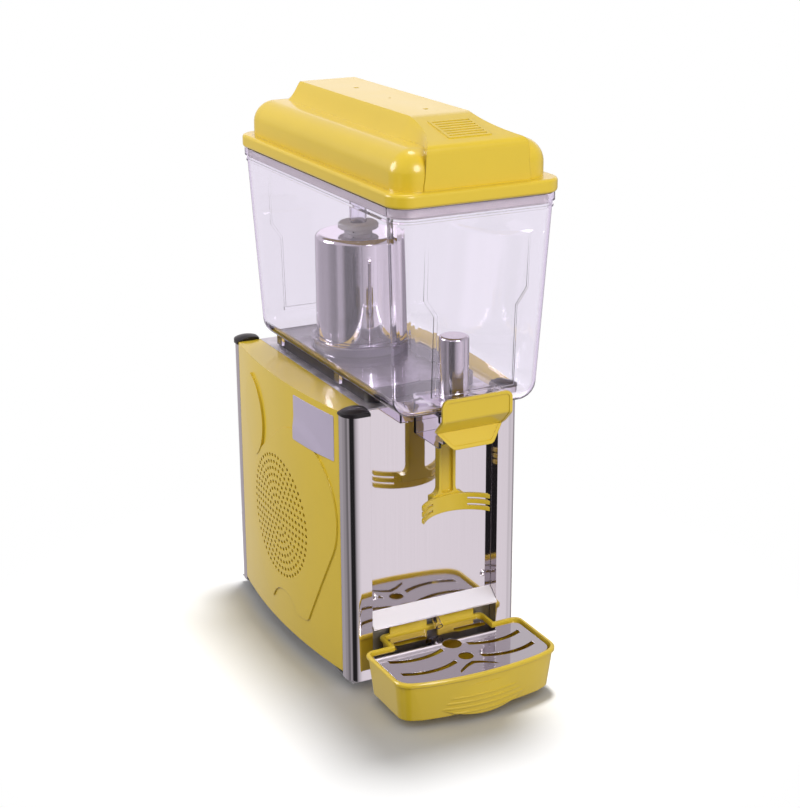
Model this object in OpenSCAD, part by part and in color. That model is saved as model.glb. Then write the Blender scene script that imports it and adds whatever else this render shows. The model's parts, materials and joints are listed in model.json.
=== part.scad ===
// Cold drink dispenser with one clear bowl. Millimetres.
// The front faces -Y, +X is to the right seen from the front, and the feet stand on z = 0.
// Lengths from front to back are measured from the middle of the cabinet, and stand() then
// moves the whole machine so that the origin is under the middle of its outline.

/* [Cabinet] */
// Width across the straight edges of the two side panels
cabinet_width = 210; // [200:1:230]
// Front to back length of a side panel
panel_length = 282; // [276:1:310]
// Height of a side panel
panel_height = 307; // [300:1:330]
// Height of a side panel's lower edge above the floor
panel_lift = 16; // [14:0.5:20]
// Outward bow of a side panel at its middle
panel_bow = 12; // [8:0.5:16]
// Wall of a side panel
panel_wall = 2.5; // [2:0.1:3.5]
// Thickness of the steel sheets
sheet = 1.2; // [0.8:0.1:1.6]
// Height of the rubber feet
foot_height = 9; // [6:0.5:11]

/* [Columns] */
// Width of a corner column seen from the front
column_width = 27; // [24:0.5:32]
// Depth of a corner column beyond the side panel
column_depth = 22; // [18:0.5:26]
// Radius of a column's outer corner
column_round = 14; // [8:0.5:16]
// Height of a column's domed cap
cap_height = 8; // [6:0.5:10]

/* [Side panel relief] */
// Radius of the perforated circle
grille_radius = 74; // [60:1:76]
// Rings of holes in the perforated circle
grille_rings = 9; // [6:1:10]
// Diameter of a grille hole
grille_hole = 4.4; // [3:0.1:5]
// Height of the middle of the perforated circle above the floor
grille_height = 154; // [150:1:165]
// Radius of the raised fruit shape
fruit_radius = 84; // [80:1:86]
// Height of the raised fruit shape over the panel
fruit_relief = 1.6; // [0.6:0.1:2]

/* [Front] */
// Distance of the splash panel behind the column fronts
splash_setback = 13; // [8:0.5:18]
// Height of the bend between splash panel and ledge
ledge_height = 85.5; // [82:0.5:92]
// Forward run of the sloped ledge
ledge_run = 16; // [12:0.5:18]
// Fall of the sloped ledge
ledge_drop = 13.3; // [10:0.1:14]

/* [Bowl] */
// Half width of the bowl at its floor
bowl_half = 82; // [78:0.5:86]
// Distance of the bowl's front below, from the middle of the cabinet
bowl_front = 245.5; // [240:0.5:250]
// Distance of the bowl's back below, from the middle of the cabinet
bowl_back = 130.5; // [124:0.5:134]
// Height of the bowl from its underside to its rim
bowl_height = 223.4; // [210:0.2:240]
// Outward slope of the bowl's walls, millimetres per millimetre of height
bowl_draft = 0.05; // [0.03:0.005:0.06]
// Wall of the bowl
bowl_wall = 3; // [2.5:0.1:3.6]
// Corner radius of the bowl in plan
bowl_corner = 22; // [18:0.5:26]
// Depth of the stepped field in the bowl's front and back
step_depth = 3; // [2:0.1:4]
// Height of the dark seat that carries the bowl over the deck
seat_height = 12.7; // [10:0.1:15]

/* [Lid] */
// Overhang of the lid's rim over the bowl's wall
lid_overhang = 3.2; // [2.6:0.1:4.5]
// Height of the lid's rim
rim_height = 14.5; // [12:0.5:18]
// Height of the lid's body above the rim
lid_body = 39; // [36:0.5:44]
// Height of the hood above the lid's body
hood_rise = 20.5; // [17:0.5:24]
// Half width of the hood's flat top
hood_half = 34; // [30:0.5:38]
// Wall of the lid
lid_wall = 3; // [2.4:0.1:3.4]

/* [Cold cylinder] */
// Radius of the cold cylinder
cold_radius = 49.4; // [46:0.2:52]
// Distance of the cold cylinder's axis behind the middle of the cabinet
cold_back = 20; // [14:0.5:24]
// Height of the cold cylinder above the deck
cold_height = 149; // [135:1:155]
// Radius of the pump disc on top of the cold cylinder
pump_radius = 23; // [21:0.5:26]
// Radius of the drive shaft
shaft_radius = 4; // [3:0.1:4.5]

/* [Tap] */
// Distance of the valve plunger behind the bowl's front below
plunger_setback = 43.5; // [40:0.5:46]
// Radius of the valve plunger
plunger_radius = 15.9; // [14:0.1:17]
// Height of the valve plunger
plunger_height = 66.5; // [50:0.5:80]
// Half width of the spout
spout_half = 28; // [26:0.5:30]
// Half width of the lever's grip plate
grip_half = 41; // [36:0.5:44]
// Width of the lever's stem
stem_width = 20; // [18:0.5:26]
// Radius of the lever's paddle, which fits a glass
paddle_radius = 49.5; // [46:0.5:54]
// Half width of the lever's paddle
paddle_half = 40; // [36:0.5:42]
// Height of the lever's paddle
paddle_height = 19; // [18:0.5:24]
// Radius of the lever's pivot pin
pivot_radius = 2; // [1.5:0.1:2.5]

/* [Drip tray] */
// Distance of the tray's front from the middle of the cabinet
tray_reach = 282; // [274:0.5:295]
// Half width of the tray over its bead
tray_half = 98; // [92:0.5:104]
// Height of the tray's rim above the floor
tray_rim = 55.7; // [53:0.1:58]
// Wall of the tray
tray_wall = 2.5; // [2:0.1:3]
// Thickness of the drip grid
grid_thick = 1.6; // [1.2:0.1:2]

/* [Cooling unit] */
// Radius of the compressor
compressor_radius = 46; // [40:0.5:48]
// Height of the compressor above its foot plate
compressor_height = 124; // [110:1:130]
// Radius of the fan over its blades
fan_radius = 58; // [50:0.5:60]
// Radius of the agitator motor
motor_radius = 30; // [26:0.5:32]

/* [Hidden] */
$fn = 72;
bow_steps = 720;
hull_steps = 32;
slice = 0.1;
part_gap = 0.3;
run_gap = 0.05;
seat_gap = 0.1;
over = 1;

panel_edge = cabinet_width / 2;
panel_half = panel_length / 2;
panel_top = panel_lift + panel_height;
bow_radius = (panel_half * panel_half + panel_bow * panel_bow) / (2 * panel_bow);
bow_axis = panel_edge + panel_bow - bow_radius;
column_inner = panel_edge - column_width;
column_start = panel_half + part_gap;
column_front = panel_half + column_depth;
column_top = panel_top - 3;
cap_overhang = 1.5;
centre_shift = (tray_reach - column_front - cap_overhang) / 2;

pan_top = foot_height + sheet;
foot_x = panel_edge - 20;
foot_y = panel_half - 12;
foot_radius = 14;
screw_radius = 2;

shelf_inner = column_inner - 1.2;
deck_half = shelf_inner - part_gap;
deck_top = panel_top;
deck_under = deck_top - sheet;

splash_y = -(column_front - splash_setback);
splash_half = column_inner - part_gap;
splash_back = splash_y + sheet;
ledge_lip = 2;
ledge_front = splash_y - ledge_run;
ledge_slope = ledge_drop / ledge_run;
ledge_slant = sqrt(ledge_run * ledge_run + ledge_drop * ledge_drop);
lower_y = splash_back + seat_gap;
lower_back = lower_y + sheet;
splash_screw_x = splash_half - 9.5;
splash_screw_z = ledge_height + 17;
rear_y = panel_half + 2;
rear_inner = rear_y - sheet;

drain_radius = 4.5;
drain_bore = 3.2;
drain_slope = 29;
drain_z = ledge_height - 10;
drain_length = 31;

seat_top = deck_top + seat_height;
bowl_under = seat_top + part_gap;
bowl_floor = bowl_under + bowl_wall + 1;
bowl_top = bowl_under + bowl_height;
bowl_round = 20;
bowl_draft_angle = atan(bowl_draft);
rim_half = bowl_half + bowl_draft * bowl_height;
rim_front = bowl_front + bowl_draft * bowl_height;
rim_back = bowl_back + bowl_draft * bowl_height;
flange_height = 8.4;
flange_out = lid_overhang - 1.4;
bead_drop = 15;
bead_thick = 2.5;
bead_out = 0.3;

step_top = bowl_height - 32;
step_jog_high = bowl_height - 94;
step_jog_low = step_jog_high - 18;
step_bottom = 26;
step_half_high = bowl_half - 25;
step_half_low = step_half_high - 12;

cold_y = cold_back;
cold_wall = 1.2;
cold_top = deck_top + cold_height;
cold_round = 6;
sleeve_bore = shaft_radius + 1;
sleeve_radius = sleeve_bore + 1.5;
seal_radius = cold_radius + 2.5;
collar_bore = seal_radius + part_gap;
collar_radius = collar_bore + 3.8;
collar_height = 12;
coil_pitch = 16;
coil_turns = 7;
coil_tube = 4;
coil_radius = cold_radius - cold_wall - part_gap - coil_tube;

pump_neck = pump_radius - 7;
pump_neck_height = 5;
pump_height = 12;
pump_wall = 3;
pump_chamber = pump_neck - pump_wall;
tube_radius = 9.6;
tube_wall = 2;
tube_top = bowl_top - 12;
impeller_radius = pump_chamber - 1.5;
impeller_vanes = 5;

motor_height = 60;
motor_boss = 6;
bracket_top = deck_under - 7.2;
bracket_under = bracket_top - 2;
bracket_half = motor_radius + 15;
bracket_depth = 16;
motor_under = bracket_under - motor_height;
shaft_foot = motor_under + 34;

lid_under = bowl_top + part_gap;
lid_rim_top = lid_under + rim_height;
lid_half = rim_half + lid_overhang;
lid_front = rim_front + lid_overhang;
lid_back = rim_back + lid_overhang;
lid_corner = bowl_corner + 1;
rim_edge = 3.5;
lid_inset = 10;
lid_round = 25;
lid_top = lid_rim_top + lid_body;
hood_top = lid_top + hood_rise;
hood_round = 6;
hood_spread = 21;
hood_sink = 3;
hood_proud = 1.2;
flat_back = 100;
flat_front = 170;
nose_drop = 17;
tail_drop = hood_rise + 2;
tail_back = lid_back - lid_inset - 18;
nose_front = lid_front - lid_inset + hood_proud;
nose_half = 60;
nose_draft = 3;
nose_depth = 30;
flank_steps = [0, 0.08, 0.18, 0.3, 0.45, 0.62, 0.8, 1];
flank_last = len(flank_steps) - 1;
skirt_gap = 0.8;
skirt_wall = 2;
skirt_depth = 11;
lid_hole_back = 23.5;
lid_hole_pitch = 82;
louvre_slots = 7;
louvre_half = 21;
louvre_pitch = 6;

plunger_front = bowl_front - plunger_setback;
plunger_y = -plunger_front;
plunger_wall = 1.5;
plunger_vent = 1.2;
outlet_radius = 10;
nozzle_radius = 13.7;
spout_wall = 3;
spout_under = bowl_under - 42;
spout_back = plunger_front - 36;
spout_front = plunger_front + 20;
spout_roof = bowl_under - 8;
pin_radius = 4;
pivot_y = -(plunger_front + 24);
pivot_z = bowl_under - 24;
hub_radius = 6;
ear_reach = 5.5;
ear_rise = 10;
seal_thick = 2.2;
seat_ring_top = bowl_floor - 0.4;
seal_under = seat_ring_top + part_gap;
plunger_under = seal_under + seal_thick;
lift_pad_top = pivot_z - 11;
pin_tip = lift_pad_top + 0.4;

stem_front = plunger_front - 12;
stem_thick = 9;
stem_web = 4.5;
stem_rib = 3;
stem_top = pivot_z - 24;
stem_bottom = stem_top - 64;
stem_corner = 6;
stem_fillet = 9;
paddle_top = stem_bottom + 2;
paddle_under = paddle_top - paddle_height;
paddle_thick = 3.4;
paddle_front = stem_front + 2;
paddle_centre = -(paddle_front + paddle_radius);
tine_slot = 2.8;
tine_root = 21;
grip_y = -(plunger_front + plunger_setback + 9.5);
grip_top = bowl_under + 22;
grip_bend = bowl_under - 2;
grip_groove = bowl_under - 19;
grip_foot = bowl_under - 36.5;
grip_groove_back = 17;
grip_foot_back = 8;
grip_thick = 3;
grip_foot_half = 23.5;
grip_border = 3.5;
grip_recess = 0.9;
grip_corner = 8;
grip_ridge = 5;

tray_shoulder = 180;
tray_floor = 9;
tray_draft = 4.5;
tray_bead = 2;
bead_height = 5.7;
bead_under = tray_rim - bead_height;
tray_corner = 20;
tray_rear_corner = 10;
front_arc_half = 70;
front_arc_rise = 7;
lip_half = 60;
lip_bow = 11;
lip_setback = 2;
lip_sweep = 14;
lip_drop = 2;
lip_height = 36;
lip_ribs = 4;
lip_pitch = 6;
neck_half = 66;
neck_back = -lower_y + 2.5;
neck_under = 27.3;
tab_inner = 7;
tab_outer = 53;
tab_top = tray_rim + 9.3;
grid_top = tray_rim - 3;
grid_under = grid_top - grid_thick;
grid_inset = 6.5;
grid_hinge = neck_back + grid_inset + grid_thick / 2;
grid_neck_half = neck_half - grid_inset;
grid_neck_corner = 5;
rail_top = neck_under - part_gap;
rail_height = 7;
rail_reach = 25;
rail_foot = rail_top - rail_height - pan_top - seat_gap;
peg_radius = 4;

fan_z = grille_height;
shroud_x = -(panel_edge - 30);
shroud_half = fan_radius + 18;
shroud_top = fan_z + shroud_half;
condenser_depth = 21;
condenser_half = shroud_half - 4;
condenser_fins = 15;
fan_hub = 18;
fan_blades = 5;
fan_width = 16;
fan_x = shroud_x + 11;
fan_shaft = 3;
fan_motor_radius = 24;
fan_motor_x = fan_x + fan_width + 6;
fan_motor_length = 36;
strap_half = 12;
strap_reach = fan_radius + 10;

compressor_x = 42;
compressor_y = 78;
compressor_foot = 26;
compressor_top = compressor_foot + compressor_height;
mount_x = 40;
mount_y = 34;
drier_x = -50;
drier_y = panel_half - 29;
drier_under = 62;
drier_length = 70;
drier_radius = 10;
pipe_radius = 2.5;
pipe_gap = 0.3;

control_z = panel_top - 38;
switch_x = [-48, -18];
switch_half_x = 6.5;
switch_half_z = 10;
knob_x = 26;
knob_radius = 14;
knob_depth = 14;
rocker_pin = 1.5;
rocker_tilt = 8;
rocker_pin_y = rear_inner - 1;
gland_x = 52;
gland_z = 52;
gland_radius = 8;
louvre_rows = 9;

// Helpers

module stand() {
    translate([0, centre_shift, 0]) children();
}

module both_sides() {
    for (side = [0, 1]) mirror([side, 0, 0]) children();
}

// Rounded rectangle in plan: half width, y of front and back, corner radius
module round_plate(half, front, back, corner) {
    translate([-half + corner, front]) square([2 * (half - corner), back - front]);
    translate([-half, front + corner]) square([2 * half, back - front - 2 * corner]);
    for (x = [-half + corner, half - corner], y = [front + corner, back - corner])
        translate([x, y]) circle(corner);
}

// Points of an arc: middle, radius, first and last angle
function arc(x, y, radius, from, to) =
    [for (i = [0:6]) let (a = from + (to - from) * i / 6) [x + radius * cos(a), y + radius * sin(a)]];

function backwards(points) = [for (i = [len(points) - 1:-1:0]) points[i]];

// Outline in y and z, extruded along x and centred on x = 0
module across(width) {
    translate([-width / 2, 0, 0]) rotate([90, 0, 90]) linear_extrude(width) children();
}

// Outline in x and z, extruded along y from the given y towards the back
module along(y, length) {
    translate([0, y + length, 0]) rotate([90, 0, 0]) linear_extrude(length) children();
}

// Round bar with its axis along x
module bar_x(x, length, radius) {
    translate([x, 0, 0]) rotate([0, 90, 0]) cylinder(h = length, r = radius);
}

// Round bar with its axis along y
module bar_y(y, length, radius) {
    translate([0, y, 0]) rotate([-90, 0, 0]) cylinder(h = length, r = radius);
}

// Round pipe that follows a list of points, with a thicker brazed joint at each bend
module pipe(points, radius) {
    for (i = [0:len(points) - 2]) {
        way = points[i + 1] - points[i];
        turn = atan2(way.y, way.x);
        tilt = acos(way.z / norm(way));
        translate(points[i]) rotate([0, tilt, turn]) cylinder(h = norm(way), r = radius, $fn = 12);
    }
    for (i = [1:len(points) - 2]) translate(points[i]) sphere(radius + 0.6, $fn = 10);
}

// Cabinet

module pan_flange(x, y, wide, deep) {
    translate([x, y, foot_height]) cube([wide, deep, 16]);
}

module base_pan() {
    color("silver") stand() difference() {
        union() {
            translate([-(panel_edge - 2), -(column_front - 2), foot_height])
                cube([2 * (panel_edge - 2), 2 * (column_front - 2), sheet]);
            both_sides() pan_flange(panel_edge - 6, -(panel_half - 6), sheet, panel_length - 12);
            pan_flange(-deck_half + 4, lower_back + seat_gap, 2 * (deck_half - 4), sheet);
            pan_flange(-deck_half + 4, rear_inner - seat_gap - sheet, 2 * (deck_half - 4), sheet);
        }
        for (x = [-foot_x, foot_x], y = [-foot_y, foot_y])
            translate([x, y, foot_height - over]) cylinder(h = sheet + 2 * over, r = screw_radius + seat_gap);
    }
}

module feet() {
    color("dimgray") stand() for (x = [-foot_x, foot_x], y = [-foot_y, foot_y])
        translate([x, y, 0]) rotate_extrude() polygon([
            [6, 0], [foot_radius - 3, 0], [foot_radius - 1.5, 1], [foot_radius, foot_height],
            [screw_radius + seat_gap, foot_height], [screw_radius + seat_gap, 3], [6, 3]
        ]);
}

module foot_screws() {
    color("gray") stand() for (x = [-foot_x, foot_x], y = [-foot_y, foot_y]) translate([x, y, 0]) {
        translate([0, 0, 1.2]) cylinder(h = 1.8, r = 4.2);
        translate([0, 0, 2]) cylinder(h = pan_top + 2, r = screw_radius);
    }
}

// Corner column: three flat walls and one round bend, open to the panel
module column(left, front) {
    rise = column_top - pan_top;
    flat_x = column_width - column_round;
    flat_y = column_front - column_start - column_round;
    color("gainsboro") stand() mirror([left, 0, 0]) mirror([0, front, 0])
        translate([column_inner, column_start, pan_top]) {
            cube([sheet, column_front - column_start, rise]);
            translate([0, column_front - column_start - sheet, 0]) cube([flat_x, sheet, rise]);
            translate([column_width - sheet, 0, 0]) cube([sheet, flat_y, rise]);
            translate([flat_x, flat_y, 0]) rotate_extrude(angle = 90)
                translate([column_round - sheet, 0]) square([sheet, rise]);
        }
}

// Plan of a cap in the +X +Y corner: overhangs the column on its two outer sides
module cap_outline() {
    wide = column_width + cap_overhang;
    deep = column_front + cap_overhang - column_start;
    bend = column_round + cap_overhang;
    translate([column_inner, column_start]) {
        square([wide - bend, deep]);
        square([wide, deep - bend]);
        intersection() {
            translate([wide - bend, deep - bend]) circle(bend);
            translate([wide - bend, deep - bend]) square(bend);
        }
    }
}

module column_front_left() { column(1, 1); }
module column_front_right() { column(0, 1); }
module column_rear_left() { column(1, 0); }
module column_rear_right() { column(0, 0); }

module column_caps() {
    dome = 36;
    middle_x = column_inner + column_width / 2 - 2;
    middle_y = column_front - column_depth / 2 - 2;
    color([0.08, 0.08, 0.1]) stand() for (left = [0, 1], front = [0, 1])
        mirror([left, 0, 0]) mirror([0, front, 0]) intersection() {
            translate([0, 0, column_top]) linear_extrude(cap_height) cap_outline();
            translate([middle_x, middle_y, column_top + cap_height - dome]) sphere(dome);
        }
}

// Cylinder whose face is the bowed face of the +X panel, moved outwards by grow
module bow(grow) {
    translate([bow_axis, 0, -over]) cylinder(h = 2 * panel_top, r = bow_radius + grow, $fn = bow_steps);
}

// Outline in y and z, extruded through the bowed face of the +X panel
module through_panel() {
    translate([panel_edge - 20, 0, 0]) rotate([90, 0, 90]) linear_extrude(panel_bow + 40) children();
}

// Raised layer over the bowed face in the shape of an outline in y and z
module relief(height) {
    intersection() {
        difference() {
            bow(height);
            bow(-panel_wall / 2);
        }
        through_panel() children();
    }
}

// Fruit around the grille: round lobes and a blunt tip, with a round bite at its foot
module fruit_outline() {
    translate([0, grille_height]) difference() {
        hull() {
            circle(grille_radius + 10);
            translate([-52, 36]) circle(fruit_radius);
            translate([10, -50]) circle(0.75 * fruit_radius);
            translate([-64, -96]) circle(10);
        }
        translate([-12, -130]) circle(40);
    }
}

// Leaf: the lens where two circles meet
module leaf_outline() {
    leaf_radius = 53;
    leaf_offset = 20;
    translate([74, grille_height + 101]) rotate(-8) intersection() {
        translate([leaf_offset, 0]) circle(leaf_radius);
        translate([-leaf_offset, 0]) circle(leaf_radius);
    }
}

module grille_holes() {
    ring_step = (grille_radius - grille_hole / 2) / grille_rings;
    translate([0, grille_height]) {
        circle(d = grille_hole, $fn = 24);
        for (ring = [1:grille_rings], i = [0:6 * ring - 1])
            rotate(i * 60 / ring) translate([ring * ring_step, 0]) circle(d = grille_hole, $fn = 24);
    }
}

module panel_block(inset) {
    past = inset > 0 ? over : 0;
    translate([shelf_inner - past, -panel_half + inset, panel_lift - past])
        cube([column_width + panel_bow + 10, panel_length - 2 * inset, panel_height - inset + past]);
}

module side_panel(left) {
    color([0.93, 0.83, 0.2]) stand() mirror([left, 0, 0]) difference() {
        union() {
            intersection() {
                panel_block(0);
                bow(0);
            }
            relief(fruit_relief) fruit_outline();
            relief(fruit_relief + 0.9) leaf_outline();
        }
        intersection() {
            panel_block(panel_wall);
            bow(-panel_wall);
        }
        through_panel() grille_holes();
    }
}

module side_panel_left() { side_panel(1); }
module side_panel_right() { side_panel(0); }

// Height of the ledge's underside at a given y
function ledge_under(y) = ledge_height - ledge_slope * (splash_y - y) - sheet * ledge_slant / ledge_run;

module splash_panel() {
    lip_top = ledge_height - ledge_drop;
    color("whitesmoke") stand() difference() {
        across(2 * splash_half) polygon([
            [splash_y, deck_under - part_gap], [splash_y, ledge_height], [ledge_front, lip_top],
            [ledge_front, lip_top - ledge_lip], [ledge_front + sheet, lip_top - ledge_lip],
            [ledge_front + sheet, ledge_under(ledge_front + sheet)], [splash_back, ledge_under(splash_back)],
            [splash_back, deck_under - part_gap]
        ]);
        for (x = [-splash_screw_x, splash_screw_x])
            translate([x, 0, splash_screw_z])
                bar_y(splash_y - over, sheet + 2 * over, screw_radius + seat_gap);
    }
}

module splash_screws() {
    color("silver") stand() for (x = [-splash_screw_x, splash_screw_x])
        translate([x, splash_y, splash_screw_z]) {
            intersection() {
                translate([0, 2.6, 0]) sphere(4.8);
                bar_y(-4, 4, 5);
            }
            bar_y(-seat_gap, 9, screw_radius);
        }
}

// Frame of the drain tube: z along the tube, from the lower front panel outwards
module drain_frame() {
    translate([0, lower_y + 3, drain_z]) rotate([90 + drain_slope, 0, 0]) children();
}

module lower_front_panel() {
    panel_rise = splash_screw_z + 10;
    color("gainsboro") stand() difference() {
        translate([-splash_half, lower_y, pan_top + part_gap])
            cube([2 * splash_half, sheet, panel_rise - pan_top - part_gap]);
        for (x = [-splash_screw_x, splash_screw_x])
            translate([x, 0, splash_screw_z])
                bar_y(lower_y - over, sheet + 2 * over, screw_radius + seat_gap);
        drain_frame() translate([0, 0, -8]) cylinder(h = 16, r = drain_radius + seat_gap);
    }
}

module drain_tube() {
    color([0.9, 0.95, 1, 0.4]) stand() drain_frame() difference() {
        translate([0, 0, -6]) cylinder(h = drain_length + 6, r = drain_radius);
        translate([0, 0, -6 - over]) cylinder(h = drain_length + 6 + 2 * over, r = drain_bore);
    }
}

module tray_rails() {
    color([0.1, 0.1, 0.12]) stand() both_sides()
        translate([neck_half - 20, lower_y - rail_reach, rail_top - rail_height]) {
            cube([14, rail_reach - seat_gap, rail_height]);
            translate([0, rail_reach - seat_gap - 3, -rail_foot]) cube([14, 3, rail_foot]);
        }
}

module rear_panel() {
    color("gainsboro") stand() difference() {
        translate([-splash_half, rear_inner, pan_top + part_gap])
            cube([2 * splash_half, sheet, deck_under - pan_top - 2 * part_gap]);
        for (row = [0:louvre_rows - 1], x = [-36, 4])
            translate([x - 14, rear_inner - over, 90 + row * 14]) cube([34, sheet + 2 * over, 5]);
        for (x = switch_x) translate([x - switch_half_x, rear_inner - over, control_z - switch_half_z])
            cube([2 * switch_half_x, sheet + 2 * over, 2 * switch_half_z]);
        translate([knob_x, 0, control_z]) bar_y(rear_inner - over, sheet + 2 * over, 5);
        translate([gland_x, 0, gland_z]) bar_y(rear_inner - over, sheet + 2 * over, gland_radius + seat_gap);
        rear_screw_places() bar_y(rear_inner - over, sheet + 2 * over, screw_radius + seat_gap);
    }
}

module rear_screw_places() {
    for (x = [-splash_half + 7, splash_half - 7], z = [pan_top + 22, fan_z, panel_top - 12])
        translate([x, 0, z]) children();
}

module rear_screws() {
    color("silver") stand() rear_screw_places() {
        bar_y(rear_y, 2, 4);
        bar_y(rear_inner - 4, sheet + 5, screw_radius);
    }
}

module deck() {
    flange = 18;
    front = splash_back + 2 * seat_gap + sheet;
    back = rear_inner - seat_gap;
    color("silver") stand() difference() {
        union() {
            translate([-deck_half, splash_y, deck_under]) cube([2 * deck_half, back - splash_y, sheet]);
            translate([-deck_half, front, deck_top - flange]) cube([2 * deck_half, sheet, flange]);
            translate([-deck_half, back - sheet, deck_top - flange]) cube([2 * deck_half, sheet, flange]);
        }
        translate([0, cold_y, deck_under - over]) cylinder(h = sheet + 2 * over, r = coil_radius + 3);
        rear_screw_places() bar_y(back - sheet - over, sheet + 2 * over, screw_radius + seat_gap);
    }
}

module bowl_seat() {
    outer = bowl_half - 16;
    inner = outer - 7;
    front = splash_y + 12;
    back = bowl_back - 9;
    color([0.1, 0.1, 0.12]) stand() translate([0, 0, deck_top]) linear_extrude(seat_height) difference() {
        round_plate(outer, front, back, 16);
        round_plate(inner, front + 7, back - 7, 9);
    }
}

// Cold cylinder, pump and drive

module bowl_seal() {
    color([0.85, 0.85, 0.85]) stand() translate([0, cold_y, deck_top]) difference() {
        cylinder(h = seat_height + 12, r = seal_radius);
        translate([0, 0, -over]) cylinder(h = seat_height + 12 + 2 * over, r = cold_radius + run_gap);
    }
}

module cold_cylinder() {
    height = cold_height;
    color("gainsboro") stand() translate([0, cold_y, deck_top]) rotate_extrude() {
        difference() {
            union() {
                square([cold_radius, height - cold_round]);
                square([cold_radius - cold_round, height]);
                translate([cold_radius - cold_round, height - cold_round]) circle(cold_round);
            }
            square([cold_radius - cold_wall, height - cold_round]);
            square([cold_radius - cold_round, height - cold_wall]);
            translate([cold_radius - cold_round, height - cold_round]) circle(cold_round - cold_wall);
            square([sleeve_radius - 0.5, height + over]);
        }
        difference() {
            translate([sleeve_bore, 0]) square([sleeve_radius - sleeve_bore, height]);
            translate([0, height - 8]) square([sleeve_radius - 0.5, 8 + over]);
        }
    }
}

// Tube ring points round the coil's path, then one closed skin over all rings
module evaporator_coil() {
    rings = 16;
    sides = 6;
    count = coil_turns * rings;
    function path(i) = [
        coil_radius * cos(360 * i / rings), coil_radius * sin(360 * i / rings), coil_pitch * i / rings
    ];
    points = [for (i = [0:count], k = [0:sides - 1])
        let (a = 360 * k / sides, out = coil_radius + coil_tube * cos(a), turn = 360 * i / rings)
        [out * cos(turn), out * sin(turn), path(i).z + coil_tube * sin(a)]];
    skin = [for (i = [0:count - 1], k = [0:sides - 1])
        let (n = (k + 1) % sides, a = i * sides + k, b = i * sides + n, c = a + sides, d = b + sides)
        each [[a, b, d], [a, d, c]]];
    ends = [
        [for (k = [0:sides - 1]) sides - 1 - k],
        [for (k = [0:sides - 1]) count * sides + k]
    ];
    color("peru") stand() translate([0, cold_y, deck_top + 12])
        polyhedron(points, concat(skin, ends));
}

module shaft_bush() {
    color("khaki") stand() translate([0, cold_y, cold_top - 8]) difference() {
        cylinder(h = 8, r = sleeve_radius - 0.5 - run_gap);
        translate([0, 0, -over]) cylinder(h = 8 + 2 * over, r = shaft_radius + run_gap);
    }
}

module pump_body() {
    color([0.93, 0.93, 0.93]) stand() translate([0, cold_y, cold_top + seat_gap]) difference() {
        rotate_extrude() polygon([
            [shaft_radius + 2, 0], [pump_neck, 0], [pump_neck, pump_neck_height],
            [pump_radius - 1, pump_neck_height], [pump_radius, pump_neck_height + 1],
            [pump_radius, pump_height - 2], [pump_radius - 2, pump_height],
            [tube_radius - tube_wall, pump_height],
            [tube_radius - tube_wall, pump_height - 2], [pump_chamber, pump_height - 2],
            [pump_chamber, 1.5], [shaft_radius + 2, 1.5]
        ]);
        for (a = [45:90:315]) rotate(a) translate([0, 0, 3]) bar_x(pump_chamber - over, pump_wall + 3, 1.2);
    }
}

module spray_tube() {
    foot = cold_top + seat_gap + pump_height;
    color([0.9, 0.95, 1, 0.4]) stand() translate([0, cold_y, foot]) difference() {
        cylinder(h = tube_top - foot, r = tube_radius);
        translate([0, 0, -over]) cylinder(h = tube_top - foot - 2, r = tube_radius - tube_wall);
        for (a = [0:60:300]) rotate(a) translate([0, 0, tube_top - foot - 10]) bar_x(0, 2 * tube_radius, 1.5);
    }
}

module pump_impeller() {
    rise = 6.5;
    hub = shaft_radius + 1.8;
    color([0.85, 0.87, 0.9]) stand() translate([0, cold_y, cold_top + seat_gap + 2.4]) difference() {
        union() {
            cylinder(h = rise, r = hub);
            cylinder(h = 1.2, r = impeller_radius);
            for (i = [0:impeller_vanes - 1]) rotate(i * 360 / impeller_vanes)
                translate([hub - 1, -0.8, 0]) cube([impeller_radius - hub + 0.6, 1.6, rise]);
        }
        translate([0, 0, -over]) cylinder(h = rise + 2 * over, r = shaft_radius + run_gap / 2);
    }
}

module drive_shaft() {
    color("silver") stand() translate([0, cold_y, shaft_foot])
        cylinder(h = cold_top + seat_gap + 8.9 - shaft_foot, r = shaft_radius);
}

module agitator_motor() {
    color("slategray") stand() translate([0, cold_y, motor_under]) difference() {
        union() {
            rotate_extrude() polygon([
                [0, 0], [motor_radius - 4, 0], [motor_radius, 4], [motor_radius, motor_height - 3],
                [motor_radius - 3, motor_height], [0, motor_height]
            ]);
            cylinder(h = motor_height + motor_boss, r = 10);
        }
        translate([0, 0, shaft_foot - motor_under - part_gap])
            cylinder(h = motor_height, r = shaft_radius + run_gap);
    }
}

module motor_bracket() {
    color("silver") stand() translate([0, cold_y, 0]) difference() {
        union() {
            translate([-bracket_half, -bracket_depth, bracket_under])
                cube([2 * bracket_half, 2 * bracket_depth, bracket_top - bracket_under]);
            both_sides() translate([bracket_half - 2, -bracket_depth, bracket_under])
                cube([2, 2 * bracket_depth, deck_under - seat_gap - bracket_under]);
            both_sides() translate([bracket_half - 2, -bracket_depth, deck_under - seat_gap - 2])
                cube([12, 2 * bracket_depth, 2]);
        }
        translate([0, 0, bracket_under - over]) cylinder(h = 4 + over, r = 10 + seat_gap);
    }
}

// Cooling unit

module at_compressor() {
    stand() translate([compressor_x, compressor_y, 0]) children();
}

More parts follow.
